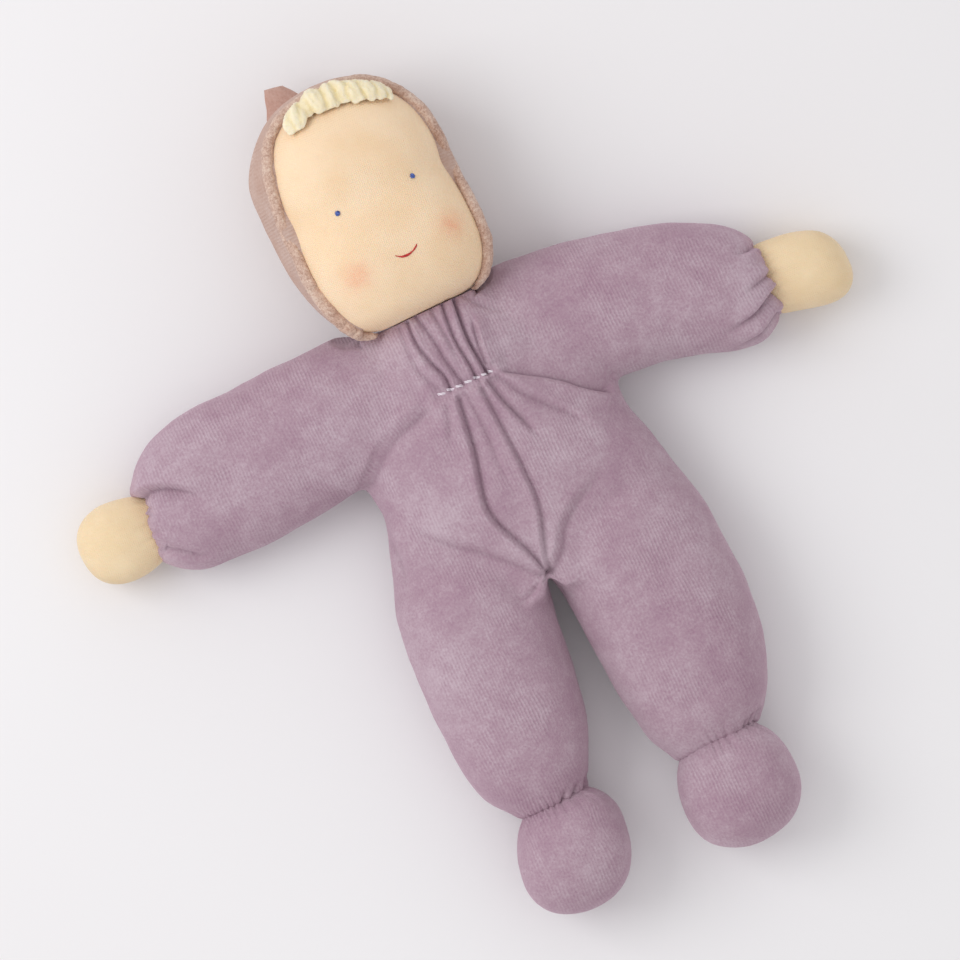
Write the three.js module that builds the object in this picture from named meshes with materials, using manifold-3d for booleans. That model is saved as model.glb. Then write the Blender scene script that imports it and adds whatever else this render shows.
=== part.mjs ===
// A soft cloth doll in a romper and hood, lying on its back.
// +X points to the doll's left hand, +Y to its crown and +Z up from the surface that it lies on.
// Sizes are in millimetres. A table of shares has rows of
// [place along the form, centre, half width, underside, top], each a share of a named size.

import * as THREE from "three";
import { mergeVertices } from "three/addons/utils/BufferGeometryUtils.js";
import Module from "manifold-3d";

const wasm = await Module();
wasm.setup();

// Cloth, thread and clearances
const velourWall = 1.6;
const jerseyWall = 0.9;
const gauzeWall = 2.2;
const threadRadius = 0.55;
const fitGap = 0.3;
const creaseGap = 0.6;
const restFlat = 0.5;
const overrun = 6;

// Trunk of the romper, from the hip crease to the crease under the chin
const hipY = -38;
const neckY = 59.8;
const trunkHalf = 56.8;
const trunkDepth = 44;
const trunkLength = neckY - hipY;
const cutSpanShare = 6;
const cutSpan = cutSpanShare * trunkLength;
const trunkShares = [
  [-0.08, 0.058, 1, 0, 0.86],
  [0, 0.058, 1, 0, 0.88],
  [0.143, 0.062, 0.942, 0, 0.95],
  [0.312, 0.075, 0.857, 0, 1],
  [0.414, 0.07, 0.81, 0, 1],
  [0.52, 0.066, 0.822, 0, 0.97],
  [0.62, 0.06, 0.79, 0, 0.955],
  [0.715, 0.055, 0.74, 0, 0.925],
  [0.8, 0.05, 0.66, 0, 0.94],
  [0.9, 0.045, 0.53, 0, 0.93],
  [0.97, 0.044, 0.43, 0, 0.91],
  [1.06, 0.044, 0.3, 0, 0.88],
];

// Gathers that a running stitch draws into the chest
const stitchX = 3;
const stitchShare = 0.718;
const stitchY = hipY + stitchShare * trunkLength;
const gatherFolds = 7;
const gatherWidth = 25;
const gatherRise = 2.1;
const gatherLength = 66;
const pinchLength = 4.5;
const pinchShare = 0.55;
const fanLength = 14;
const fanLimitShare = 0.72;
const columnsPerFold = 2;
const trunkSidePoints = 12;

// Sleeves and arms
const shoulderY = 65;
const sleeveDepth = 36;
const armBackBend = 15;
const rightArm = {
  side: "right",
  reach: -116,
  armpit: [-43, 13],
  shoulder: [-21, 64],
  handY: 33,
  handReach: 25.7,
  shares: [
    [-0.07, 0.57, 0.354, 0, 0.95],
    [0.18, 0.608, 0.392, 0, 1],
    [0.37, 0.611, 0.388, 0, 1],
    [0.56, 0.588, 0.403, 0, 0.98],
    [0.733, 0.574, 0.412, 0, 0.95],
    [0.862, 0.558, 0.383, 0, 0.91],
    [0.931, 0.55, 0.33, 0.02, 0.86],
    [0.974, 0.538, 0.254, 0.07, 0.78],
    [1, 0.523, 0.185, 0.12, 0.7],
    [1.06, 0.515, 0.16, 0.14, 0.67],
  ],
};
const leftArm = {
  side: "left",
  reach: 113,
  armpit: [51, 12],
  shoulder: [27.5, 64],
  handY: 20,
  handReach: 27.3,
  shares: [
    [-0.07, 0.57, 0.354, 0, 0.95],
    [0.24, 0.6, 0.385, 0, 1],
    [0.442, 0.572, 0.388, 0, 1],
    [0.664, 0.511, 0.365, 0, 0.98],
    [0.796, 0.426, 0.378, 0, 0.95],
    [0.894, 0.374, 0.35, 0, 0.91],
    [0.947, 0.357, 0.298, 0.02, 0.86],
    [0.982, 0.346, 0.231, 0.07, 0.78],
    [1, 0.338, 0.177, 0.12, 0.7],
    [1.06, 0.331, 0.154, 0.14, 0.67],
  ],
};
const cuffPleats = 8;
const cuffRise = 1.1;
const cuffLength = 13;
const cuffSlope = 2;

// Hands, stuffed balls of jersey
const handRadii = [13.9, 14.2, 13];

// Legs and feet
const thighHalf = 27;
const thighDepth = 42;
const legBackBend = 15;
const rightLeg = {
  side: "right",
  ankleY: -111.7,
  footX: -29.3,
  footReach: 38.8,
  shares: [
    [-0.38, -0.815, 0.444, 0.3, 0.62],
    [-0.27, -0.889, 0.74, 0.12, 0.82],
    [-0.135, -0.956, 0.933, 0.02, 0.955],
    [0, -0.985, 0.985, 0, 1],
    [0.231, -1.056, 0.981, 0, 1],
    [0.461, -1.107, 0.941, 0, 1],
    [0.678, -1.148, 0.87, 0, 0.97],
    [0.841, -1.167, 0.726, 0.01, 0.9],
    [0.936, -1.14, 0.578, 0.07, 0.81],
    [1, -1.11, 0.463, 0.16, 0.735],
    [1.085, -1.096, 0.444, 0.17, 0.72],
  ],
};
const leftLeg = {
  side: "left",
  ankleY: -115.7,
  footX: 29.7,
  footReach: 37.3,
  shares: [
    [-0.36, 0.926, 0.48, 0.3, 0.62],
    [-0.257, 1.02, 0.796, 0.12, 0.82],
    [-0.129, 1.104, 1.007, 0.02, 0.955],
    [0, 1.148, 1.074, 0, 1],
    [0.219, 1.204, 1.081, 0, 1],
    [0.438, 1.219, 1.052, 0, 1],
    [0.644, 1.204, 1, 0, 0.98],
    [0.837, 1.159, 0.863, 0.01, 0.91],
    [0.94, 1.13, 0.685, 0.07, 0.81],
    [1, 1.104, 0.556, 0.16, 0.735],
    [1.08, 1.093, 0.519, 0.17, 0.72],
  ],
};
const footRadii = [21.2, 20.6, 19.7];
const anklePuckers = 12;
const puckerRise = 0.7;
const puckerLength = 10;
const ankleSlope = 1.4;

// Head, built round the upright axis that it turns on
const headX = -2.3;
const headHeight = 83.7;
const headHalf = 31.8;
const headHalfDepth = 28.6;
const headTurn = 8;
const nodBackBend = 5;
const axisZ = 28.5;
const chinY = neckY;
const headRise = 2.2;
const creaseZ = 41;
// Rows of [place up the head, half width, back, front]
const headShares = [
  [0.006, 0.22, 0.2, 0.2],
  [0.03, 0.425, 0.4, 0.4],
  [0.08, 0.69, 0.64, 0.66],
  [0.18, 0.91, 0.86, 0.9],
  [0.3, 1, 0.97, 1],
  [0.42, 0.99, 1, 0.985],
  [0.522, 0.968, 1, 0.95],
  [0.62, 0.99, 1, 0.97],
  [0.753, 0.937, 0.96, 0.92],
  [0.86, 0.786, 0.83, 0.78],
  [0.938, 0.58, 0.62, 0.56],
  [0.98, 0.346, 0.37, 0.33],
  [0.994, 0.17, 0.18, 0.16],
];
const eyeLineShare = 0.522;

// Neck, a wool roll that the head is tied on
const neckRadius = 8;
const neckDrop = 4.8;
const neckRise = 14;
const neckPlay = 1.3;
const neckHolePlay = 3;
const tieShare = 0.35;

// Face embroidery, placed from the head's own axis
const eyeSpread = 14.3;
const eyeShift = 0.9;
const eyeY = 103.6;
const eyeRadius = 1;
const eyeHeight = 0.6;
const mouthX = 2.6;
const mouthY = 82.2;
const mouthHalf = 4.3;
const mouthDip = 2.1;
const mouthRadius = 0.4;

// Hood, its rolled hem and the corner folded behind the crown
const hemRadius = 2.3;
const hemHalf = 28.4;
const hemCentreY = 104;
const hemUpper = 37.4;
const hemLower = 45;
const hemRoundness = 2.6;
const hemEndAngle = 57;
const hoodBottomY = 61.8;
const cornerX = -10;
const cornerZ = -12;
const cornerBaseY = 138;
const cornerTipY = 152.3;
// Rows of [place up the corner, half width, half depth]
const cornerHalf = 8.5;
const cornerShares = [
  [0, 1, 0.6],
  [0.45, 0.72, 0.45],
  [0.8, 0.42, 0.28],
  [1, 0.34, 0.2],
];

// Fringe of curled wool
const curlCount = 8;
const curlSteps = 8;
const curlSides = 5;
const curlRadius = 2.3;
const woolRadius = 1.6;
const fringeHalf = 27;
const fringeRise = 33;
const fringeLeft = -15;
const fringeRight = 21;

// Shape of a stuffed cross-section: roundness above and below its widest line
const upperRoundness = 2.15;
const underRoundness = 2.7;
const equatorShare = 0.46;
const ballRoundness = 2.3;

// Facets
const limbSides = 20;
const innerSides = 12;
const innerTrunkSides = 16;
const neckSides = 16;
const headSides = 24;
const innerHeadSides = 16;
const roomSides = 16;
const threadSides = 5;
const stitchRoomSides = 6;
const tieSides = 4;
const threadSteps = 16;
const hemSteps = 44;
const hemSides = 6;
const ballSteps = 9;
const innerBallSteps = 7;
const mouthSteps = 8;
const knotSides = 10;
const gapStepsPerCurl = 24;

const toRadians = THREE.MathUtils.degToRad;
const up = new THREE.Vector3(0, 0, 1);

// Closed skins and booleans

function facingOut(geometry) {
  const place = geometry.getAttribute("position");
  const index = geometry.getIndex();
  const corners = [new THREE.Vector3(), new THREE.Vector3(), new THREE.Vector3()];
  let volume = 0;
  for (let i = 0; i < index.count; i += 3) {
    corners.forEach((corner, k) => corner.fromBufferAttribute(place, index.getX(i + k)));
    volume += corners[0].dot(corners[1].clone().cross(corners[2]));
  }
  if (volume < 0) {
    for (let i = 0; i < index.count; i += 3) {
      const second = index.getX(i + 1);
      index.setX(i + 1, index.getX(i + 2));
      index.setX(i + 2, second);
    }
  }
  return geometry;
}

// Joins rings of equal point counts into one closed skin, ending in a fan at each tip.
function closeSkin(rings, firstTip, lastTip) {
  const sides = rings[0].length;
  const points = [...rings.flat(), firstTip, lastTip];
  const firstIndex = rings.length * sides;
  const faces = [];
  for (let i = 0; i < sides; i += 1) {
    const next = (i + 1) % sides;
    for (let ring = 0; ring < rings.length - 1; ring += 1) {
      const low = ring * sides;
      const high = low + sides;
      faces.push(low + i, low + next, high + next, low + i, high + next, high + i);
    }
    const last = (rings.length - 1) * sides;
    faces.push(next, i, firstIndex);
    faces.push(last + i, last + next, firstIndex + 1);
  }
  const geometry = new THREE.BufferGeometry();
  const values = points.flatMap((point) => point.toArray());
  geometry.setAttribute("position", new THREE.Float32BufferAttribute(values, 3));
  geometry.setIndex(faces);
  return facingOut(geometry);
}

function meanPoint(points) {
  const sum = points.reduce((total, point) => total.add(point), new THREE.Vector3());
  return sum.divideScalar(points.length);
}

function weld(geometry) {
  const bare = geometry.clone();
  bare.deleteAttribute("normal");
  bare.deleteAttribute("uv");
  return mergeVertices(bare);
}

// Moves every point of a smooth skin along its normal: inwards for a positive depth.
function inset(geometry, depth) {
  const skin = weld(geometry);
  skin.computeVertexNormals();
  const place = skin.getAttribute("position");
  const normal = skin.getAttribute("normal");
  for (let i = 0; i < place.count; i += 1) {
    place.setXYZ(
      i,
      place.getX(i) - depth * normal.getX(i),
      place.getY(i) - depth * normal.getY(i),
      place.getZ(i) - depth * normal.getZ(i),
    );
  }
  skin.deleteAttribute("normal");
  return skin;
}

function solidOf(geometry) {
  const skin = weld(geometry);
  const vertProperties = new Float32Array(skin.getAttribute("position").array);
  const triVerts = new Uint32Array(skin.getIndex().array);
  return new wasm.Manifold(new wasm.Mesh({ numProp: 3, vertProperties, triVerts }));
}

function geometryOf(solid) {
  const mesh = solid.getMesh();
  const geometry = new THREE.BufferGeometry();
  geometry.setAttribute("position", new THREE.Float32BufferAttribute(mesh.vertProperties, 3));
  geometry.setIndex(new THREE.Uint32BufferAttribute(mesh.triVerts, 1));
  return geometry;
}

function joined(solids) {
  return solids.reduce((whole, solid) => whole.add(solid));
}

function without(solid, cutters) {
  return cutters.reduce((rest, cutter) => rest.subtract(cutter), solid);
}

// A block that fills everything beyond a plane.
function beyond(point, direction) {
  const block = new THREE.BoxGeometry(cutSpan, cutSpan, cutSpan);
  block.translate(0, 0, cutSpan / 2);
  const turn = new THREE.Quaternion().setFromUnitVectors(up, direction.clone().normalize());
  block.applyQuaternion(turn);
  block.translate(point.x, point.y, point.z);
  return solidOf(block);
}

const belowFloor = beyond(new THREE.Vector3(), new THREE.Vector3(0, 0, -1));

// A crease bends about its hinge line, and its faces lean apart below it by the backward bend.
function crease(hinge, outward, backBend) {
  const lean = toRadians(backBend) / 2;
  const innerFace = outward.clone().multiplyScalar(Math.cos(lean)).addScaledVector(up, -Math.sin(lean));
  const outerFace = outward.clone().multiplyScalar(Math.cos(lean)).addScaledVector(up, Math.sin(lean));
  const innerPoint = hinge.clone().addScaledVector(innerFace, -creaseGap / 2);
  const outerPoint = hinge.clone().addScaledVector(outerFace, creaseGap / 2);
  return {
    trimInner: beyond(innerPoint, innerFace),
    trimOuter: beyond(outerPoint, outerFace.negate()),
  };
}

// Stuffed forms

function rowsFrom(shares, start, length, width, depth) {
  return shares.map(([along, centre, half, under, top]) => ({
    along: start + along * length,
    centre: centre * width,
    half: half * width,
    under: under * depth - restFlat,
    top: top * depth - restFlat,
  }));
}

// Halves the spacing of the rows with a smooth curve through them.
function refined(rows) {
  const finer = [rows[0]];
  const outerWeight = -1 / 16;
  const innerWeight = 9 / 16;
  for (let i = 1; i < rows.length; i += 1) {
    const before = rows[Math.max(i - 2, 0)];
    const after = rows[Math.min(i + 1, rows.length - 1)];
    const between = {};
    for (const key of Object.keys(rows[i])) {
      const near = innerWeight * (rows[i - 1][key] + rows[i][key]);
      between[key] = near + outerWeight * (before[key] + after[key]);
    }
    finer.push(between, rows[i]);
  }
  return finer;
}

function power(value, exponent) {
  return Math.sign(value) * Math.abs(value) ** exponent;
}

// A point of a stuffed cross-section, as [across, height].
function sectionPoint(row, angle, style) {
  const rise = Math.sin(angle);
  const exponent = 2 / (rise < 0 ? style.under : style.upper);
  const middle = row.under + (row.top - row.under) * style.equator;
  const reach = rise < 0 ? middle - row.under : row.top - middle;
  return [row.centre + row.half * power(Math.cos(angle), exponent), middle + reach * power(rise, exponent)];
}

const limbStyle = { upper: upperRoundness, under: underRoundness, equator: equatorShare };
const ballStyle = { upper: ballRoundness, under: ballRoundness, equator: 1 / 2 };

function placed(axis, along, [across, height]) {
  return axis === "x" ? new THREE.Vector3(along, across, height) : new THREE.Vector3(across, along, height);
}

function ringOf(row, axis, sides, style, riseAt = () => 0) {
  const ring = [];
  for (let i = 0; i < sides; i += 1) {
    const angle = (2 * Math.PI * i) / sides;
    const rise = riseAt(row, angle);
    const swollen = { ...row, half: row.half + rise, under: row.under - rise, top: row.top + rise };
    ring.push(placed(axis, row.along, sectionPoint(swollen, angle, style)));
  }
  return ring;
}

function closeForm(rings) {
  return closeSkin(rings, meanPoint(rings[0]), meanPoint(rings[rings.length - 1]));
}

function formOf(rows, axis, sides, style, riseAt) {
  return closeForm(rows.map((row) => ringOf(row, axis, sides, style, riseAt)));
}

// Pleats that grow towards the drawn-in end of a limb.
function pleats(count, height, length, endAlong) {
  return (row, angle) => {
    const nearness = Math.max(0, 1 - Math.abs(row.along - endAlong) / length);
    return height * nearness * Math.cos(count * angle);
  };
}

function ballRows(centre, radii, steps) {
  const rows = [];
  for (let i = 1; i < steps; i += 1) {
    const angle = Math.PI * (i / steps - 1 / 2);
    const scale = power(Math.cos(angle), 2 / ballRoundness);
    rows.push({
      along: centre.along + radii.along * power(Math.sin(angle), 2 / ballRoundness),
      centre: centre.across,
      half: radii.across * scale,
      under: centre.height - radii.height * scale,
      top: centre.height + radii.height * scale,
    });
  }
  return rows;
}

function ballForm(centre, radii, axis, steps, sides, riseAt) {
  const rings = ballRows(centre, radii, steps).map((row) => ringOf(row, axis, sides, ballStyle, riseAt));
  const middle = [centre.across, centre.height];
  const firstTip = placed(axis, centre.along - radii.along, middle);
  const lastTip = placed(axis, centre.along + radii.along, middle);
  return closeSkin(rings, firstTip, lastTip);
}

// Threads, hems and curls

function tubeOf(points, radius, sides, closed = false) {
  const count = points.length;
  const rings = [];
  let side = null;
  for (let i = 0; i < count; i += 1) {
    const before = points[closed ? (i + count - 1) % count : Math.max(i - 1, 0)];
    const after = points[closed ? (i + 1) % count : Math.min(i + 1, count - 1)];
    const tangent = after.clone().sub(before).normalize();
    if (side === null) {
      side = Math.abs(tangent.z) < 1 / 2 ? up.clone() : new THREE.Vector3(1, 0, 0);
    }
    side = side.clone().addScaledVector(tangent, -side.dot(tangent)).normalize();
    const other = tangent.clone().cross(side);
    const ring = [];
    for (let k = 0; k < sides; k += 1) {
      const angle = (2 * Math.PI * k) / sides;
      const spoke = side.clone().multiplyScalar(radius * Math.cos(angle));
      ring.push(points[i].clone().add(spoke).addScaledVector(other, radius * Math.sin(angle)));
    }
    rings.push(ring);
  }
  return closed ? closeLoop(rings) : closeSkin(rings, points[0], points[count - 1]);
}

function closeLoop(rings) {
  const sides = rings[0].length;
  const faces = [];
  for (let ring = 0; ring < rings.length; ring += 1) {
    const low = ring * sides;
    const high = ((ring + 1) % rings.length) * sides;
    for (let i = 0; i < sides; i += 1) {
      const next = (i + 1) % sides;
      faces.push(low + i, low + next, high + next, low + i, high + next, high + i);
    }
  }
  const geometry = new THREE.BufferGeometry();
  const values = rings.flat().flatMap((point) => point.toArray());
  geometry.setAttribute("position", new THREE.Float32BufferAttribute(values, 3));
  geometry.setIndex(faces);
  return facingOut(geometry);
}

// The head's surface, in a frame with its origin on the turning axis

function headRows(grow = 0) {
  return headShares.map(([place, half, back, front]) => ({
    along: chinY - grow + place * (headHeight + 2 * grow),
    centre: 0,
    half: half * headHalf + grow,
    under: headRise - back * headHalfDepth - grow,
    top: headRise + front * headHalfDepth + grow,
  }));
}

function headForm(rows, sides, grow = 0) {
  const rings = rows.map((row) => ringOf(row, "y", sides, ballStyle));
  const chin = new THREE.Vector3(0, chinY - grow, headRise);
  const crown = new THREE.Vector3(0, chinY + headHeight + grow, headRise);
  return closeSkin(rings, chin, crown);
}

function rowAt(rows, along) {
  const last = rows.length - 1;
  const forward = Math.sign(rows[last].along - rows[0].along);
  let i = 1;
  while (i < last && forward * rows[i].along < forward * along) {
    i += 1;
  }
  const blend = (along - rows[i - 1].along) / (rows[i].along - rows[i - 1].along);
  const row = {};
  for (const key of Object.keys(rows[i])) {
    row[key] = rows[i - 1][key] + blend * (rows[i][key] - rows[i - 1][key]);
  }
  return row;
}

const skinRows = headRows();

function facePoint(x, y) {
  const row = rowAt(skinRows, y);
  const middle = (row.under + row.top) / 2;
  const inside = Math.max(0, 1 - Math.abs(x / row.half) ** ballRoundness);
  return new THREE.Vector3(x, y, middle + (row.top - middle) * inside ** (1 / ballRoundness));
}

function faceNormal(x, y) {
  const step = jerseyWall;
  const across = facePoint(x + step, y).sub(facePoint(x - step, y));
  const along = facePoint(x, y + step).sub(facePoint(x, y - step));
  return across.cross(along).normalize();
}

// A point that stands off the face by a lift along the face's normal.
function offFace(x, y, lift) {
  return facePoint(x, y).addScaledVector(faceNormal(x, y), lift);
}

function outlinePoint(half, above, below, degrees) {
  const angle = toRadians(degrees);
  const height = Math.sin(angle) < 0 ? below : above;
  return [
    half * power(Math.cos(angle), 2 / hemRoundness),
    hemCentreY + height * power(Math.sin(angle), 2 / hemRoundness),
  ];
}

// The rolled hem runs round the face, from one side of the chin to the other.
function hemPoints() {
  const points = [];
  const sweep = 180 + 2 * hemEndAngle;
  for (let i = 0; i <= hemSteps; i += 1) {
    const [x, y] = outlinePoint(hemHalf, hemUpper, hemLower, -hemEndAngle + (sweep * i) / hemSteps);
    points.push(offFace(x, y, hemRadius + fitGap));
  }
  return points;
}

const hemPath = hemPoints();

// Pieces, gathered by the body that carries them

const doll = new THREE.Group();
const materials = {
  velour: [0xaa8ca0, 0.95],
  hoodVelour: [0xc3a59b, 0.95],
  jersey: [0xeed4b2, 0.85],
  stuffing: [0xf0e9dc, 1],
  gauze: [0xf4f1ea, 0.9],
  cotton: [0xe6dce4, 0.7],
  blueThread: [0x4b64aa, 0.6],
  redThread: [0xbe3232, 0.6],
  fringeWool: [0xe1d7af, 0.95],
};

function bodyAt(parent, pivot) {
  const body = new THREE.Group();
  body.position.copy(pivot).sub(parent.userData.pivot ?? new THREE.Vector3());
  body.userData.pivot = pivot.clone();
  parent.add(body);
  return body;
}

function addPiece(body, name, shape, finish) {
  const geometry = shape.isBufferGeometry ? weld(shape) : geometryOf(shape);
  const { x, y, z } = body.userData.pivot;
  geometry.translate(-x, -y, -z);
  geometry.computeVertexNormals();
  const [color, roughness] = materials[finish];
  const material = new THREE.MeshStandardMaterial({ color, roughness, metalness: 0 });
  const mesh = new THREE.Mesh(geometry, material);
  mesh.name = name;
  body.add(mesh);
}

// Trunk with its gathers

const trunkRows = rowsFrom(trunkShares, hipY, trunkLength, trunkHalf, trunkDepth);

function fanSpread(row) {
  const drop = Math.max(0, stitchY - row.along) / fanLength;
  const limit = (fanLimitShare * row.half) / (gatherWidth / 2);
  return Math.min(1 + drop, limit);
}

function foldRise(along) {
  const distance = Math.abs(stitchY - along);
  const fade = Math.max(0, 1 - Math.max(0, stitchY - along) / gatherLength);
  const pinch = 1 - pinchShare * Math.exp(-((distance / pinchLength) ** 2));
  return gatherRise * fade * pinch;
}

function topAngle(row, x) {
  return Math.acos(power((x - row.centre) / row.half, upperRoundness / 2));
}

// A trunk ring has one point on each valley and ridge of the fan, then plain points round the back.
function trunkRing(row) {
  const columns = gatherFolds * columnsPerFold + 1;
  const spread = fanSpread(row);
  const ring = [];
  for (let i = 0; i < columns; i += 1) {
    const place = (i / (columns - 1) - 1 / 2) * gatherWidth;
    const angle = topAngle(row, stitchX + place * spread);
    const [across, height] = sectionPoint(row, angle, limbStyle);
    const rise = i % columnsPerFold === 1 ? foldRise(row.along) : 0;
    ring.push(new THREE.Vector3(across, row.along, height + rise));
  }
  const rightEnd = topAngle(row, stitchX + (gatherWidth / 2) * spread);
  const leftEnd = topAngle(row, stitchX - (gatherWidth / 2) * spread) - 2 * Math.PI;
  for (let i = 1; i <= trunkSidePoints; i += 1) {
    const angle = rightEnd + ((leftEnd - rightEnd) * i) / (trunkSidePoints + 1);
    ring.push(placed("y", row.along, sectionPoint(row, angle, limbStyle)));
  }
  return ring;
}

const trunkForm = closeForm(trunkRows.map(trunkRing));
const plainTrunk = formOf(trunkRows, "y", innerTrunkSides, limbStyle);

// Limbs as plain and pleated forms

function armRows(arm) {
  return rowsFrom(arm.shares, 0, arm.reach, shoulderY, sleeveDepth);
}

function legRows(leg) {
  return rowsFrom(leg.shares, hipY, leg.ankleY - hipY, thighHalf, thighDepth);
}

const arms = [rightArm, leftArm];
const legs = [rightLeg, leftLeg];
for (const arm of arms) {
  arm.rows = armRows(arm);
  const cuffPleating = pleats(cuffPleats, cuffRise, cuffLength, arm.reach);
  arm.outer = formOf(refined(arm.rows), "x", limbSides, limbStyle, cuffPleating);
  arm.even = formOf(refined(arm.rows), "x", limbSides, limbStyle);
  arm.plain = formOf(arm.rows, "x", innerSides, limbStyle);
  const [armpitX, armpitY] = arm.armpit;
  const [topX, topY] = arm.shoulder;
  const line = new THREE.Vector3(topX - armpitX, topY - armpitY, 0).normalize();
  arm.outward = line.clone().cross(up).multiplyScalar(Math.sign(arm.reach));
  arm.hinge = new THREE.Vector3((armpitX + topX) / 2, (armpitY + topY) / 2, sleeveDepth);
  arm.crease = crease(arm.hinge, arm.outward, armBackBend);
}
for (const leg of legs) {
  leg.rows = legRows(leg);
  leg.puckers = pleats(anklePuckers, puckerRise, puckerLength, leg.ankleY);
  leg.outer = formOf(refined(leg.rows), "y", limbSides, limbStyle, leg.puckers);
  leg.plain = formOf(leg.rows, "y", innerSides, limbStyle);
}
const hipHinge = new THREE.Vector3(0, hipY, thighDepth);
const hipCrease = crease(hipHinge, new THREE.Vector3(0, -1, 0), legBackBend);

const stuffingInset = velourWall + fitGap;

// Room for the head and its hem to turn on their axis and to nod back

// Points of [radius, place, how far the radius grows with the room].
function headRoomProfile() {
  const hemRows = hemPath.slice(0, Math.ceil(hemPath.length / 2)).map((point) => ({
    radius: Math.hypot(point.x, point.z),
    along: point.y - hemRadius - creaseGap,
  }));
  const innerEdge = hemRows[0].radius - hemRadius - creaseGap;
  const chinEdge = innerEdge - 2 * stuffingInset;
  const profile = [[0, chinY - creaseGap, 0]];
  for (const row of headRows()) {
    const radius = Math.max(row.half, row.top, -row.under) + creaseGap;
    if (radius < chinEdge && row.along < hemCentreY) {
      profile.push([radius, row.along - creaseGap, 0]);
    }
  }
  profile.push([innerEdge, hemRows[0].along, -1]);
  let widest = innerEdge;
  for (const { radius, along } of hemRows) {
    const edge = radius + hemRadius + creaseGap;
    if (edge > widest && along < hemCentreY) {
      profile.push([edge, along, 1]);
      widest = edge;
    }
  }
  return profile;
}

function headRoom(grow) {
  const profile = headRoomProfile();
  const flatShare = Math.cos(Math.PI / roomSides);
  const edge = profile.map(([radius, y, spread]) => (
    new THREE.Vector2((radius + spread * grow) / flatShare, y - grow)
  ));
  const top = edge[edge.length - 1];
  edge.push(new THREE.Vector2(top.x, top.y + overrun), new THREE.Vector2(0, top.y + overrun));
  const sweep = new THREE.LatheGeometry(edge, roomSides);
  sweep.translate(headX, 0, axisZ);
  const nodded = sweep.clone();
  nodded.translate(0, -neckY, -creaseZ);
  nodded.rotateX(-toRadians(nodBackBend));
  nodded.translate(0, neckY, creaseZ);
  return joined([solidOf(sweep), solidOf(nodded)]);
}

const clothHeadRoom = headRoom(0);
const innerHeadRoom = headRoom(velourWall);
const stuffingHeadRoom = headRoom(stuffingInset);

function neckPost(radius, bottom, top, halfWidth = radius) {
  const post = new THREE.CylinderGeometry(radius, radius, top - bottom, neckSides);
  post.scale(halfWidth / radius, 1, 1);
  post.translate(headX, (top + bottom) / 2, axisZ);
  return solidOf(post);
}

const neckBottom = neckY - neckDrop;
const neckTop = chinY + neckRise;
const neckHoleRadius = neckRadius + neckHolePlay;

// Torso: gathered romper, stuffing, chest stitch and the thread that draws the neck edge in

const torso = bodyAt(doll, new THREE.Vector3());
const torsoTrims = [...arms.map((arm) => arm.crease.trimInner), hipCrease.trimInner, belowFloor];

function trunkUnion(depth) {
  const parts = [plainTrunk, ...arms.map((arm) => arm.plain), ...legs.map((leg) => leg.plain)];
  return joined(parts.map((part) => solidOf(inset(part, depth))));
}

function stitchPoints() {
  const points = [];
  const row = rowAt(trunkRows, stitchY);
  const steps = gatherFolds * columnsPerFold + 1;
  const half = gatherWidth / 2;
  const lift = threadRadius + fitGap;
  for (let i = 0; i < steps; i += 1) {
    const x = stitchX - half + (gatherWidth * i) / (steps - 1);
    const [, height] = sectionPoint(row, topAngle(row, x), limbStyle);
    const ride = i % columnsPerFold === 1 ? lift : 0;
    points.push(new THREE.Vector3(x, stitchY, height + lift + ride));
  }
  return points;
}

const stitchPath = stitchPoints();
const stitchRoom = solidOf(tubeOf(stitchPath, threadRadius + fitGap, stitchRoomSides));
const neckHole = neckPost(neckHoleRadius, neckBottom - overrun - neckDrop, neckY + overrun);
const socketHalf = neckRadius + fitGap;
const neckSocket = neckPost(neckRadius + neckPlay, neckBottom - neckDrop, neckY + overrun, socketHalf);

const outerForms = [trunkForm, ...arms.map((arm) => arm.outer), ...legs.map((leg) => leg.outer)];
const torsoOuter = joined(outerForms.map(solidOf));
const torsoInner = without(trunkUnion(velourWall), [innerHeadRoom]);
const torsoShell = without(torsoOuter, [torsoInner, clothHeadRoom, neckHole, stitchRoom, ...torsoTrims]);
addPiece(torso, "romper_torso", torsoShell, "velour");

const gatherRingRadius = neckHoleRadius - fitGap - threadRadius;
const gatherRingY = chinY - creaseGap - velourWall - threadRadius;
const gatherRingRoom = neckPost(neckHoleRadius, gatherRingY - threadRadius - fitGap, neckY + overrun);
const torsoFillCuts = [stuffingHeadRoom, neckSocket, gatherRingRoom, ...torsoTrims];
const torsoFill = without(trunkUnion(stuffingInset), torsoFillCuts);
addPiece(torso, "torso_stuffing", torsoFill, "stuffing");
addPiece(torso, "chest_stitch", tubeOf(stitchPath, threadRadius, threadSides), "cotton");

function circleRound(radius, y, steps) {
  const points = [];
  for (let i = 0; i < steps; i += 1) {
    const angle = (2 * Math.PI * i) / steps;
    points.push(new THREE.Vector3(headX + radius * Math.cos(angle), y, axisZ + radius * Math.sin(angle)));
  }
  return points;
}

const gatherRing = circleRound(gatherRingRadius, gatherRingY, threadSteps);
addPiece(torso, "neck_gather_thread", tubeOf(gatherRing, threadRadius, tieSides, true), "cotton");

// Neck: a wool roll with a groove for the thread that ties the head to it

const neck = bodyAt(torso, new THREE.Vector3(headX, neckY, creaseZ));
const tieY = neckBottom + tieShare * neckDrop * 2;
const grooveHalf = threadRadius + fitGap;

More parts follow.
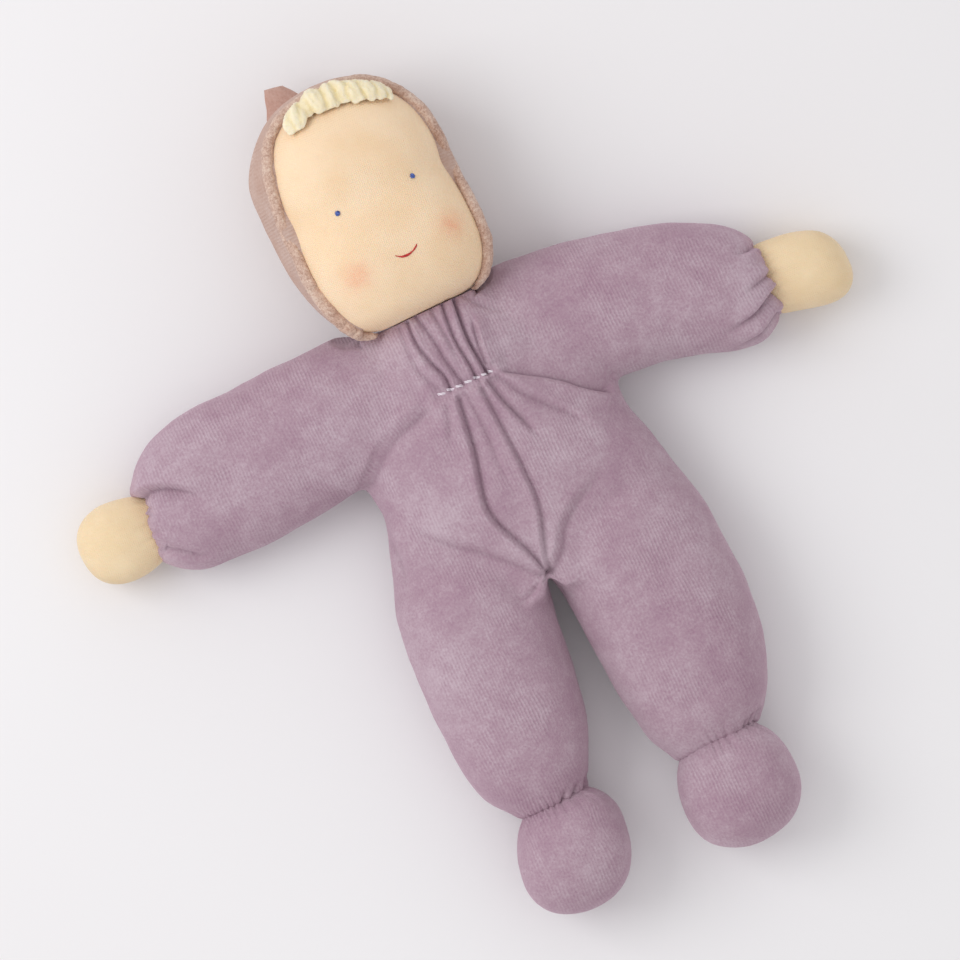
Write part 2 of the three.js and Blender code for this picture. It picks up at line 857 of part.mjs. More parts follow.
function neckRoll() {
  const profile = [
    new THREE.Vector2(0, neckBottom),
    new THREE.Vector2(neckRadius, neckBottom),
    new THREE.Vector2(neckRadius, tieY - grooveHalf),
    new THREE.Vector2(neckRadius - 2 * grooveHalf, tieY - grooveHalf),
    new THREE.Vector2(neckRadius - 2 * grooveHalf, tieY + grooveHalf),
    new THREE.Vector2(neckRadius, tieY + grooveHalf),
    new THREE.Vector2(neckRadius, neckTop),
    new THREE.Vector2(0, neckTop),
  ];
  const roll = new THREE.LatheGeometry(profile, neckSides);
  roll.translate(headX, 0, axisZ);
  return solidOf(roll);
}

addPiece(neck, "neck_core", neckRoll(), "gauze");
const tieRadius = neckRadius - 2 * grooveHalf + fitGap + threadRadius;
const tieThread = tubeOf(circleRound(tieRadius, tieY, threadSteps), threadRadius, tieSides, true);
addPiece(neck, "neck_tie_thread", tieThread, "cotton");

// Head: wool core, gauze, jersey skin, embroidery, fringe and hood

const head = bodyAt(neck, new THREE.Vector3(headX, chinY, axisZ));
const turnMatrix = new THREE.Matrix4().makeRotationY(toRadians(headTurn));
const placeMatrix = new THREE.Matrix4().makeTranslation(headX, 0, axisZ);
const headMatrix = placeMatrix.multiply(turnMatrix);

function onHead(shape) {
  const geometry = shape.isBufferGeometry ? shape.clone() : geometryOf(shape);
  geometry.applyMatrix4(headMatrix);
  return geometry;
}

function addHeadPiece(name, shape, finish) {
  addPiece(head, name, without(solidOf(onHead(shape)), [belowFloor]), finish);
}

function neckBore(radius, top) {
  const bore = new THREE.CylinderGeometry(radius, radius, top - chinY + 2 * overrun, neckSides);
  bore.translate(0, (top + chinY) / 2 - overrun, 0);
  return solidOf(bore);
}

const plainHead = headForm(skinRows, innerHeadSides);
const bore = neckBore(neckRadius + fitGap, neckTop + fitGap);
const gauzeInset = jerseyWall + fitGap;
const woolInset = gauzeInset + gauzeWall + fitGap;
const headOuter = solidOf(headForm(skinRows, headSides));
const headHollow = solidOf(inset(plainHead, jerseyWall));
addHeadPiece("head_skin", without(headOuter, [headHollow, bore]), "jersey");

const eyeLineRow = rowAt(skinRows, chinY + eyeLineShare * headHeight);
const eyeLineDepth = gauzeInset + threadRadius;
const eyeLineRing = {
  ...eyeLineRow,
  half: eyeLineRow.half - eyeLineDepth,
  under: eyeLineRow.under + eyeLineDepth,
  top: eyeLineRow.top - eyeLineDepth,
};
const eyeLinePath = ringOf(eyeLineRing, "y", threadSteps, ballStyle);
const eyeLineRoom = solidOf(tubeOf(eyeLinePath, threadRadius + fitGap, tieSides, true));
const gauzeSolid = without(solidOf(inset(plainHead, gauzeInset)), [
  solidOf(inset(plainHead, gauzeInset + gauzeWall)),
  bore,
  eyeLineRoom,
]);
addHeadPiece("head_gauze", gauzeSolid, "gauze");
const headWool = without(solidOf(inset(plainHead, woolInset)), [bore, eyeLineRoom]);
addHeadPiece("head_wool", headWool, "stuffing");
addHeadPiece("eye_line_thread", tubeOf(eyeLinePath, threadRadius, tieSides, true), "cotton");

function eyeKnot(x) {
  const profile = [
    new THREE.Vector2(0, 0),
    new THREE.Vector2(eyeRadius, 0),
    new THREE.Vector2(eyeRadius * Math.cos(Math.PI / 4), eyeHeight * Math.sin(Math.PI / 4)),
    new THREE.Vector2(0, eyeHeight),
  ];
  const knot = new THREE.LatheGeometry(profile, knotSides);
  const turn = new THREE.Quaternion().setFromUnitVectors(new THREE.Vector3(0, 1, 0), faceNormal(x, eyeY));
  knot.applyQuaternion(turn);
  const seat = offFace(x, eyeY, fitGap);
  knot.translate(seat.x, seat.y, seat.z);
  return knot;
}

addHeadPiece("eye_right", eyeKnot(eyeShift - eyeSpread), "blueThread");
addHeadPiece("eye_left", eyeKnot(eyeShift + eyeSpread), "blueThread");

function mouthPoints() {
  const points = [];
  for (let i = 0; i <= mouthSteps; i += 1) {
    const place = (2 * i) / mouthSteps - 1;
    const x = mouthX + mouthHalf * place;
    const y = mouthY - mouthDip * (1 - place * place);
    points.push(offFace(x, y, mouthRadius + fitGap));
  }
  return points;
}

addHeadPiece("mouth_stitch", tubeOf(mouthPoints(), mouthRadius, threadSides), "redThread");

addHeadPiece("hood_hem", tubeOf(hemPath, hemRadius, hemSides), "hoodVelour");

function facePlug() {
  const last = hemPath[hemPath.length - 1];
  const outline = hemPath.map((point) => new THREE.Vector2(point.x, point.y));
  outline.push(new THREE.Vector2(last.x, chinY - overrun), new THREE.Vector2(hemPath[0].x, chinY - overrun));
  const depth = 2 * headHalf;
  const plug = new THREE.ExtrudeGeometry(new THREE.Shape(outline), { depth, bevelEnabled: false });
  plug.translate(0, 0, headRise);
  return solidOf(plug);
}

function hoodCorner() {
  const rings = cornerShares.map(([place, half, depth]) => {
    const height = depth * cornerHalf;
    const row = {
      along: cornerBaseY + place * (cornerTipY - cornerBaseY),
      centre: cornerX,
      half: half * cornerHalf,
      under: cornerZ - height,
      top: cornerZ + height,
    };
    return ringOf(row, "y", innerSides, ballStyle);
  });
  return closeForm(rings);
}

const hoodOuter = headForm(headRows(fitGap + velourWall), headSides, fitGap + velourWall);
const hoodInner = headForm(headRows(fitGap), headSides, fitGap);
const hemRoom = solidOf(tubeOf(hemPath, hemRadius + fitGap, hemSides));
const hoodWhole = joined([solidOf(hoodOuter), solidOf(hoodCorner())]);
const belowHood = beyond(new THREE.Vector3(0, hoodBottomY, 0), new THREE.Vector3(0, -1, 0));
addHeadPiece("hood", without(hoodWhole, [solidOf(hoodInner), facePlug(), hemRoom, belowHood]), "hoodVelour");

function fringePath(share) {
  const x = fringeLeft + share * (fringeRight - fringeLeft);
  const y = hemCentreY + fringeRise * (1 - Math.abs(x / fringeHalf) ** hemRoundness) ** (1 / hemRoundness);
  return { seat: offFace(x, y, curlRadius + woolRadius + fitGap), normal: faceNormal(x, y) };
}

function fringePoints(stepsPerCurl) {
  const points = [];
  const steps = curlCount * stepsPerCurl;
  for (let i = 0; i <= steps; i += 1) {
    const share = i / steps;
    const here = fringePath(share);
    const step = 1 / steps;
    const tangent = fringePath(share + step).seat.sub(fringePath(share - step).seat).normalize();
    const across = tangent.clone().cross(here.normal).normalize();
    const turn = 2 * Math.PI * curlCount * share;
    const spoke = here.normal.clone().multiplyScalar(curlRadius * Math.cos(turn));
    points.push(here.seat.add(spoke).addScaledVector(across, curlRadius * Math.sin(turn)));
  }
  return points;
}

// The least clear space between neighbouring turns of the fringe, measured on its centre line.
function leastCurlGap() {
  const points = fringePoints(gapStepsPerCurl);
  const skip = gapStepsPerCurl / 2;
  let least = Infinity;
  for (let i = 0; i < points.length; i += 1) {
    for (let k = i + skip; k < points.length; k += 1) {
      least = Math.min(least, points[i].distanceTo(points[k]));
    }
  }
  return least - 2 * woolRadius;
}

console.log(`least gap between the turns of the fringe: ${leastCurlGap().toFixed(2)} mm`);
addHeadPiece("hair_fringe", tubeOf(fringePoints(curlSteps), woolRadius, curlSides), "fringeWool");

// The thread that draws a limb's end in lies inside the cloth, along the leaning face of the crease.
function gatherTie(rows, axis, hinge, backBend, endSlope) {
  const points = [];
  const end = axis === "x" ? hinge.x : hinge.y;
  const inward = Math.sign(rows[0].along - end);
  const edge = creaseGap / 2 + velourWall + threadRadius;
  const slope = Math.tan(toRadians(backBend) / 2);
  const stand = -(endSlope * stuffingInset + threadRadius);
  for (let i = 0; i < innerSides; i += 1) {
    const angle = (2 * Math.PI * i) / innerSides;
    const [, height] = sectionPoint(rowAt(rows, end), angle, limbStyle);
    const along = end + inward * (edge + slope * (hinge.z - height));
    const row = rowAt(rows, along);
    const grown = { ...row, half: row.half + stand, under: row.under - stand, top: row.top + stand };
    points.push(placed(axis, along, sectionPoint(grown, angle, limbStyle)));
  }
  return points;
}

// Arms and hands

for (const arm of arms) {
  const armBody = bodyAt(torso, arm.hinge);
  const wristRow = rowAt(arm.rows, arm.reach);
  const wristHinge = new THREE.Vector3(arm.reach, wristRow.centre, wristRow.top);
  const outward = new THREE.Vector3(Math.sign(arm.reach), 0, 0);
  const wristCrease = crease(wristHinge, outward, armBackBend);
  const trims = [arm.crease.trimOuter, wristCrease.trimInner, belowFloor];

  const sleeveHollow = solidOf(inset(arm.plain, velourWall));
  const sleeve = without(solidOf(arm.outer), [sleeveHollow, clothHeadRoom, ...trims]);
  addPiece(armBody, `sleeve_${arm.side}`, sleeve, "velour");

  const threadPath = gatherTie(arm.rows, "x", wristHinge, armBackBend, cuffSlope);
  const threadRoom = solidOf(tubeOf(threadPath, threadRadius + fitGap, tieSides, true));
  const fill = without(solidOf(inset(arm.plain, stuffingInset)), [stuffingHeadRoom, threadRoom, ...trims]);
  addPiece(armBody, `arm_stuffing_${arm.side}`, fill, "stuffing");
  addPiece(armBody, `wrist_thread_${arm.side}`, tubeOf(threadPath, threadRadius, tieSides, true), "cotton");

  const hand = bodyAt(armBody, wristHinge);
  const [alongRadius, acrossRadius, heightRadius] = handRadii;
  const centre = {
    along: arm.reach + outward.x * (arm.handReach - alongRadius),
    across: arm.handY,
    height: heightRadius - restFlat,
  };
  const radii = { along: alongRadius, across: acrossRadius, height: heightRadius };
  const handTrims = [wristCrease.trimOuter, belowFloor];
  const outerForms = [ballForm(centre, radii, "x", ballSteps, limbSides), arm.even];
  const outerHand = joined(outerForms.map((form) => solidOf(form)));
  const innerHand = ballForm(centre, radii, "x", innerBallSteps, innerSides);
  const handFill = (depth) => joined([innerHand, arm.plain].map((form) => solidOf(inset(form, depth))));
  addPiece(hand, `hand_skin_${arm.side}`, without(outerHand, [handFill(jerseyWall), ...handTrims]), "jersey");
  const wool = without(handFill(jerseyWall + fitGap), handTrims);
  addPiece(hand, `hand_wool_${arm.side}`, wool, "stuffing");
}

// Legs and feet

for (const leg of legs) {
  const hip = new THREE.Vector3(leg.footX, hipHinge.y, hipHinge.z);
  const legBody = bodyAt(torso, hip);
  const ankleTop = rowAt(leg.rows, leg.ankleY).top + puckerRise;
  const ankleHinge = new THREE.Vector3(leg.footX, leg.ankleY, ankleTop);
  const ankleCrease = crease(ankleHinge, new THREE.Vector3(0, -1, 0), legBackBend);
  const trims = [hipCrease.trimOuter, ankleCrease.trimInner, belowFloor];

  const cover = without(solidOf(leg.outer), [solidOf(inset(leg.plain, velourWall)), ...trims]);
  addPiece(legBody, `leg_cover_${leg.side}`, cover, "velour");
  const threadPath = gatherTie(leg.rows, "y", ankleHinge, legBackBend, ankleSlope);
  const threadRoom = solidOf(tubeOf(threadPath, threadRadius + fitGap, tieSides, true));
  const fill = without(solidOf(inset(leg.plain, stuffingInset)), [threadRoom, ...trims]);
  addPiece(legBody, `leg_stuffing_${leg.side}`, fill, "stuffing");
  addPiece(legBody, `ankle_thread_${leg.side}`, tubeOf(threadPath, threadRadius, tieSides, true), "cotton");

  const foot = bodyAt(legBody, ankleHinge);
  const [acrossRadius, alongRadius, heightRadius] = footRadii;
  const centre = {
    along: leg.ankleY - leg.footReach + alongRadius,
    across: leg.footX,
    height: heightRadius - restFlat,
  };
  const radii = { along: alongRadius, across: acrossRadius, height: heightRadius };
  const footTrims = [ankleCrease.trimOuter, belowFloor];
  const outerFoot = solidOf(ballForm(centre, radii, "y", ballSteps + 1, limbSides, leg.puckers));
  const innerFoot = ballForm(centre, radii, "y", innerBallSteps, innerSides);
  const footCover = without(outerFoot, [solidOf(inset(innerFoot, velourWall)), ...footTrims]);
  addPiece(foot, `foot_cover_${leg.side}`, footCover, "velour");
  const footWool = without(solidOf(inset(innerFoot, stuffingInset)), footTrims);
  addPiece(foot, `foot_wool_${leg.side}`, footWool, "stuffing");
}

// The origin is under the middle of the whole doll, on the surface that it lies on.
doll.updateMatrixWorld(true);
const box = new THREE.Box3().setFromObject(doll, true);
doll.position.set(-(box.min.x + box.max.x) / 2, -(box.min.y + box.max.y) / 2, 0);
doll.updateMatrixWorld(true);

export default doll;
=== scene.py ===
# A soft cloth doll in a velour romper and hood, lying on its back.
# +X points to the doll's left hand, +Y to its crown and +Z up from the floor.
# Shapes are worked out in millimetres and change to metres when a mesh is made.

import math

import bmesh
import bpy
import numpy as np
from mathutils import Euler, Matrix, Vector, noise
from mathutils.bvhtree import BVHTree
from mathutils.kdtree import KDTree


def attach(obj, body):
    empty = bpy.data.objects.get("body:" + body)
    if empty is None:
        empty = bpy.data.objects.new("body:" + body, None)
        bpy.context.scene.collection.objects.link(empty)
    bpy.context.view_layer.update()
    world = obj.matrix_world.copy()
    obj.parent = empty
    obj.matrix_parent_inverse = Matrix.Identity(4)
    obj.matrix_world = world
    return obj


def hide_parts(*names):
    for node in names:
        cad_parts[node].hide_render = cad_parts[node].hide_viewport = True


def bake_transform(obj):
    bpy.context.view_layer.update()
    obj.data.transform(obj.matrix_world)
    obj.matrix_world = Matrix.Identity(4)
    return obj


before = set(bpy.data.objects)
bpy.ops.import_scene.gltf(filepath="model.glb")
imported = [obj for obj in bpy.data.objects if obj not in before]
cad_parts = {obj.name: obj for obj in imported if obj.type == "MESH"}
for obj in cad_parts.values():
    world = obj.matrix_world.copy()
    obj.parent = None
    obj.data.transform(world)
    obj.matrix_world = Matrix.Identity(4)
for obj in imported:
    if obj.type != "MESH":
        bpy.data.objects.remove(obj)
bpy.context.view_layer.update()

METRES = 0.001
FRAME_SHIFT = np.array([0.7, 0.35, 0.0])

# Sizes that the solids share, in millimetres
HIP_Y = -38.0
NECK_Y = 59.8
TRUNK_HALF = 56.8
TRUNK_DEPTH = 44.0
SHOULDER_Y = 65.0
SLEEVE_DEPTH = 36.0
THIGH_HALF = 27.0
THIGH_DEPTH = 42.0
REST_FLAT = 0.5
HEAD_X = -2.3
HEAD_Z = 28.5
HEAD_HEIGHT = 83.7
HEAD_HALF = 31.8
HEAD_HALF_DEPTH = 28.6
HEAD_TURN = 11.0
HEAD_RISE = 2.2
HAND_RADII = (13.9, 14.2, 13.0)
FOOT_RADII = (21.2, 20.6, 19.7)

# Rows of [place along the form, centre, half width, underside, top], as shares of the sizes above
TRUNK_SHARES = [
    [-0.08, 0.058, 1, 0, 0.86], [0, 0.058, 1, 0, 0.88], [0.143, 0.062, 0.942, 0, 0.95],
    [0.312, 0.075, 0.857, 0, 1], [0.414, 0.07, 0.81, 0, 1], [0.52, 0.066, 0.822, 0, 0.97],
    [0.62, 0.06, 0.79, 0, 0.955], [0.715, 0.055, 0.74, 0, 0.925], [0.8, 0.05, 0.66, 0, 0.94],
    [0.9, 0.045, 0.53, 0, 0.93], [0.97, 0.044, 0.43, 0.02, 0.91], [1.03, 0.044, 0.3, 0.08, 0.86],
]
ARMS = {
    "right": {
        "reach": -116.0,
        "armpit": (-43.0, 13.0),
        "shoulder": (-21.0, 64.0),
        "hand_y": 33.0,
        "hand_bend": 0.0,
        "hand_reach": 25.7,
        "shares": [
            [-0.07, 0.57, 0.354, 0, 0.95], [0.18, 0.608, 0.392, 0, 1], [0.37, 0.611, 0.388, 0, 1],
            [0.56, 0.588, 0.403, 0, 0.98], [0.733, 0.574, 0.412, 0, 0.95], [0.862, 0.558, 0.383, 0, 0.91],
            [0.931, 0.55, 0.33, 0.02, 0.86], [0.974, 0.538, 0.262, 0.06, 0.79], [1, 0.523, 0.19, 0.12, 0.7],
        ],
    },
    "left": {
        "reach": 113.0,
        "armpit": (51.0, 12.0),
        "shoulder": (27.5, 64.0),
        "hand_y": 20.6,
        "hand_bend": -5.0,
        "hand_reach": 27.3,
        "shares": [
            [-0.07, 0.57, 0.354, 0, 0.95], [0.24, 0.6, 0.385, 0, 1], [0.442, 0.572, 0.388, 0, 1],
            [0.664, 0.511, 0.365, 0, 0.98], [0.796, 0.426, 0.378, 0, 0.95], [0.894, 0.374, 0.35, 0, 0.91],
            [0.947, 0.357, 0.298, 0.02, 0.86], [0.982, 0.346, 0.24, 0.06, 0.79], [1, 0.338, 0.18, 0.12, 0.7],
        ],
    },
}
LEGS = {
    "right": {
        "ankle_y": -111.7,
        "foot_x": -30.8,
        "foot_half": 20.0,
        "foot_lean": 1.6,
        "foot_reach": 37.8,
        "shares": [
            [-0.38, -0.815, 0.444, 0.3, 0.62], [-0.27, -0.889, 0.74, 0.12, 0.82],
            [-0.135, -0.956, 0.933, 0.02, 0.955], [0, -0.985, 0.985, 0, 1], [0.231, -1.056, 0.981, 0, 1],
            [0.461, -1.107, 0.941, 0, 1], [0.678, -1.148, 0.87, 0, 0.97], [0.841, -1.167, 0.726, 0.01, 0.9],
            [0.936, -1.14, 0.578, 0.07, 0.81], [1, -1.11, 0.463, 0.16, 0.735],
        ],
    },
    "left": {
        "ankle_y": -115.7,
        "foot_x": 29.7,
        "foot_half": 20.8,
        "foot_lean": 0.2,
        "foot_reach": 37.3,
        "shares": [
            [-0.36, 0.926, 0.48, 0.3, 0.62], [-0.257, 1.02, 0.796, 0.12, 0.82],
            [-0.129, 1.104, 1.007, 0.02, 0.955], [0, 1.148, 1.074, 0, 1], [0.219, 1.204, 1.081, 0, 1],
            [0.438, 1.219, 1.052, 0, 1], [0.644, 1.204, 1, 0, 0.98], [0.837, 1.159, 0.863, 0.01, 0.91],
            [0.94, 1.13, 0.685, 0.07, 0.81], [1, 1.104, 0.556, 0.16, 0.735],
        ],
    },
}
# Rows of [place up the head, half width, back, front]
HEAD_SHARES = [
    [0.006, 0.5, 0.3, 0.34], [0.03, 0.68, 0.5, 0.56], [0.08, 0.825, 0.7, 0.75], [0.18, 0.935, 0.87, 0.915],
    [0.3, 0.975, 0.97, 1], [0.42, 0.97, 1, 0.985], [0.522, 0.955, 1, 0.95], [0.62, 0.975, 1, 0.97],
    [0.753, 0.937, 0.96, 0.92], [0.86, 0.786, 0.83, 0.78], [0.938, 0.58, 0.62, 0.56],
    [0.98, 0.346, 0.37, 0.33], [0.994, 0.17, 0.18, 0.16],
]
UPPER_ROUNDNESS = 2.15
UNDER_ROUNDNESS = 2.7
EQUATOR = 0.46
BALL_ROUNDNESS = 2.3

# Hem of the hood's opening, in the head's own frame
HEM_HALF = 29.6
HEM_CENTRE_Y = 104.0
HEM_UPPER = 37.4
HEM_LOWER = 45.0
HEM_ROUNDNESS = 2.6
HEM_LOWER_ROUNDNESS = 3.8
HEM_RIGHT_END = 63.5
HEM_LEFT_END = 67.0
CHIN_LEAN = 2.4

CROTCH = (0.7, -44.0)

# Mesh sizes, in millimetres
ROMPER_VOXEL = 1.4
SIMULATION_VOXEL = 5.0
HAND_VOXEL = 1.1
FOOT_VOXEL = 1.3
FRINGE_VOXEL = 0.5
SMOOTHING_PASSES = 16
FLOOR_GAP = 0.05


# Meshes

def to_frame(points):
    return (np.asarray(points, dtype=float) + FRAME_SHIFT) * METRES


def to_doll(points):
    return np.asarray(points, dtype=float) / METRES - FRAME_SHIFT


def new_object(name, data):
    thing = bpy.data.objects.new(name, data)
    bpy.context.scene.collection.objects.link(thing)
    return thing


def mesh_object(name, points, faces):
    """A smooth mesh object from points in millimetres."""
    mesh = bpy.data.meshes.new(name)
    mesh.from_pydata(to_frame(points).tolist(), [], [list(face) for face in faces])
    mesh.update()
    mesh.shade_smooth()
    return new_object(name, mesh)


def cloth_object(name, points, faces, place=np.asarray):
    """A mesh object that keeps its points as the cloth's rest place before place moves them."""
    thing = mesh_object(name, place(points), faces)
    store(thing.data, "cloth", points)
    return thing


def values_of(items, field, width, kind=float):
    values = np.empty(len(items) * width, dtype=kind)
    items.foreach_get(field, values)
    return values.reshape(-1, width)


def points_of(mesh):
    """A mesh's points in millimetres."""
    return to_doll(values_of(mesh.vertices, "co", 3))


def set_points(mesh, points):
    mesh.vertices.foreach_set("co", to_frame(points).ravel())
    mesh.update()


def normals_of(mesh):
    return values_of(mesh.vertex_normals, "vector", 3)


def edges_of(mesh):
    return values_of(mesh.edges, "vertices", 2, np.int64)


def face_centres(mesh):
    return to_doll(values_of(mesh.polygons, "center", 3))


def store(mesh, name, values):
    """Keeps a number or a vector for each point of a mesh."""
    values = np.asarray(values, dtype=np.float32)
    kind, field = ("FLOAT_VECTOR", "vector") if values.ndim > 1 else ("FLOAT", "value")
    mesh.attributes.new(name, kind, "POINT").data.foreach_set(field, values.ravel())


def above_floor(points):
    points[:, 2] = np.maximum(points[:, 2], FLOOR_GAP)
    return points


def push_out(thing, lift):
    """Moves a piece's points out along their normals, and keeps them above the floor."""
    mesh = thing.data
    set_points(mesh, above_floor(points_of(mesh) + lift[:, None] * normals_of(mesh)))


def with_modifier(thing, kind, **settings):
    """Applies one modifier to an object's mesh."""
    modifier = thing.modifiers.new(kind, kind)
    for key, value in settings.items():
        setattr(modifier, key, value)
    graph = bpy.context.evaluated_depsgraph_get()
    applied = bpy.data.meshes.new_from_object(thing.evaluated_get(graph))
    thing.modifiers.clear()
    old = thing.data
    thing.data = applied
    bpy.data.meshes.remove(old)
    applied.shade_smooth()


def smoothed(points, edges, passes, strength=0.5, back=0.53, weights=None):
    """Smooths points along a mesh's edges without shrinking the form much."""
    count = np.bincount(edges.ravel(), minlength=len(points)).astype(float)
    weight = np.ones(len(points)) if weights is None else weights
    for number in range(2 * passes):
        total = np.zeros_like(points)
        for axis in range(3):
            total[:, axis] = np.bincount(edges[:, 0], points[edges[:, 1], axis], len(points))
            total[:, axis] += np.bincount(edges[:, 1], points[edges[:, 0], axis], len(points))
        step = strength if number % 2 == 0 else -back
        shift = total / count[:, None] - points
        points = points + step * weight[:, None] * shift
    return points


def smoothstep(low, high, values):
    share = np.clip((values - low) / (high - low), 0.0, 1.0)
    return share * share * (3 - 2 * share)


def bell(values, middle, width):
    """1 at the middle, falling smoothly to 0 on both sides of it."""
    return np.exp(-(((values - middle) / width) ** 2))


def unit(vector):
    return vector / np.linalg.norm(vector)


def round_angles(count):
    return np.linspace(0, 2 * math.pi, count, endpoint=False)


def noise_at(points, scale, seed):
    """Smooth noise from -1 to 1 at points in millimetres."""
    offset = Vector((seed * 7.3, seed * 3.1, seed * 5.7))
    return np.array([noise.noise(Vector(point) / scale + offset) for point in points])


# Stuffed forms

def refined(rows, times=1):
    """Rows with one more between each two, on a smooth curve through them."""
    for _ in range(times):
        finer = [rows[0]]
        for i in range(1, len(rows)):
            around = rows[max(i - 2, 0)] + rows[min(i + 1, len(rows) - 1)]
            finer.append(9 / 16 * (rows[i - 1] + rows[i]) - 1 / 16 * around)
            finer.append(rows[i])
        rows = np.array(finer)
    return rows


def rows_from(shares, start, length, width, depth):
    """Rows in millimetres from a table of shares."""
    sizes = [length, width, width, depth, depth]
    return np.array(shares, dtype=float) * sizes + [start, 0, 0, -REST_FLAT, -REST_FLAT]


def section(row, angles, upper, under, equator):
    """Points of a stuffed cross-section, as across and height."""
    _, centre, half, low, high = row
    cosine = np.cos(angles)
    sine = np.sin(angles)
    exponent = 2 / np.where(sine < 0, under, upper)
    middle = low + (high - low) * equator
    reach = np.where(sine < 0, middle - low, high - middle)
    across = centre + half * np.sign(cosine) * np.abs(cosine) ** exponent
    height = middle + reach * np.sign(sine) * np.abs(sine) ** exponent
    return across, height


def loft(rows, axis, sides, upper=UPPER_ROUNDNESS, under=UNDER_ROUNDNESS, equator=EQUATOR, tips=None):
    """Points and faces of a closed form through cross-sections along an axis."""
    angles = round_angles(sides)
    rings = []
    for row in rows:
        across, height = section(row, angles, upper, under, equator)
        along = np.full(sides, row[0])
        rings.append(np.column_stack([along, across, height] if axis == "x" else [across, along, height]))
    first = rings[0].mean(axis=0) if tips is None else tips[0]
    last = rings[-1].mean(axis=0) if tips is None else tips[1]
    return closed_rings(rings, first, last)


def closed_rings(rings, first, last):
    """Points and faces of a closed form through rings of points, with a tip at each end."""
    sides = len(rings[0])
    points = np.vstack([*rings, first, last])
    faces = []
    turn = [(i, (i + 1) % sides) for i in range(sides)]
    for low in range(0, (len(rings) - 1) * sides, sides):
        faces += [(low + i, low + after, low + sides + after, low + sides + i) for i, after in turn]
    first_index = len(points) - 2
    last_low = (len(rings) - 1) * sides
    for i, after in turn:
        faces += [(after, i, first_index), (last_low + i, last_low + after, first_index + 1)]
    return outward(points, faces)


def outward(points, faces):
    """Turns the faces of a closed form so that they look out."""
    volume = 0.0
    for face in faces:
        for k in range(1, len(face) - 1):
            a, b, c = points[face[0]], points[face[k]], points[face[k + 1]]
            volume += float(a @ np.cross(b, c))
    if volume < 0:
        faces = [tuple(reversed(face)) for face in faces]
    return points, faces


def joined_parts(parts):
    """Points and faces of several forms as one."""
    points = []
    faces = []
    start = 0
    for part_points, part_faces in parts:
        points.append(part_points)
        faces += [tuple(index + start for index in face) for face in part_faces]
        start += len(part_points)
    return np.vstack(points), faces


def stretch_skin(thing, voxel, passes):
    """Evens a form out into one fine skin that keeps its rest place; gives its points."""
    with_modifier(thing, "REMESH", mode="VOXEL", voxel_size=voxel * METRES)
    set_points(thing.data, smoothed(points_of(thing.data), edges_of(thing.data), passes))
    with_modifier(thing, "SUBSURF", levels=1, render_levels=1)
    points = points_of(thing.data)
    store(thing.data, "cloth", points)
    return points


def ribbed_share(normals, axis):
    """1 where the ribs show, falling to 0 where the cloth faces along the axis that they divide."""
    return 1 - smoothstep(0.55, 0.85, np.abs(normals[:, axis]))


def ball_rows(centre_along, centre_across, centre_height, radii, steps):
    rows = []
    for i in range(1, steps):
        angle = math.pi * (i / steps - 0.5)
        scale = abs(math.cos(angle)) ** (2 / BALL_ROUNDNESS)
        reach = math.copysign(abs(math.sin(angle)) ** (2 / BALL_ROUNDNESS), math.sin(angle))
        rows.append([
            centre_along + radii[0] * reach,
            centre_across,
            radii[1] * scale,
            centre_height - radii[2] * scale,
            centre_height + radii[2] * scale,
        ])
    return np.array(rows)


def row_at(rows, along):
    order = np.argsort(rows[:, 0])
    return np.array([np.interp(along, rows[order, 0], rows[order, k]) for k in range(rows.shape[1])])


trunk_rows = rows_from(TRUNK_SHARES, HIP_Y, NECK_Y - HIP_Y, TRUNK_HALF, TRUNK_DEPTH)
arm_rows = {
    side: rows_from(arm["shares"], 0, arm["reach"], SHOULDER_Y, SLEEVE_DEPTH) for side, arm in ARMS.items()
}
leg_rows = {
    side: rows_from(leg["shares"], HIP_Y, leg["ankle_y"] - HIP_Y, THIGH_HALF, THIGH_DEPTH)
    for side, leg in LEGS.items()
}


# Head surface, in a frame with its origin on the turning axis

def chin_shift(y):
    """The chin lies a little to the doll's left of the crown."""
    return CHIN_LEAN * (1 - smoothstep(68, 98, y))


def head_rows(grow=0.0):
    table = np.array(HEAD_SHARES)
    rows = np.zeros((len(table), 5))
    rows[:, 0] = NECK_Y - grow + table[:, 0] * (HEAD_HEIGHT + 2 * grow)
    rows[:, 1] = chin_shift(rows[:, 0])
    rows[:, 2] = table[:, 1] * HEAD_HALF + grow
    rows[:, 3] = HEAD_RISE - table[:, 2] * HEAD_HALF_DEPTH - grow
    rows[:, 4] = HEAD_RISE + table[:, 3] * HEAD_HALF_DEPTH + grow
    return rows


skin_rows = refined(head_rows())


def face_point(x, y):
    """A point of the front of the head at x and y in the head's frame."""
    _, centre, half, low, high = row_at(skin_rows, y)
    middle = (low + high) / 2
    inside = max(0.0, 1 - abs((x - centre) / half) ** BALL_ROUNDNESS)
    return np.array([x, y, middle + (high - middle) * inside ** (1 / BALL_ROUNDNESS)])


def face_normal(x, y):
    across = face_point(x + 0.9, y) - face_point(x - 0.9, y)
    along = face_point(x, y + 0.9) - face_point(x, y - 0.9)
    return unit(np.cross(across, along))


def off_face(x, y, lift):
    return face_point(x, y) + lift * face_normal(x, y)


def from_head(points):
    """Turns points of the head's frame to the doll's."""
    angle = math.radians(HEAD_TURN)
    turned = np.array(points, dtype=float)
    x = turned[:, 0] * math.cos(angle) + turned[:, 2] * math.sin(angle)
    z = -turned[:, 0] * math.sin(angle) + turned[:, 2] * math.cos(angle)
    return np.column_stack([x + HEAD_X, turned[:, 1], z + HEAD_Z])


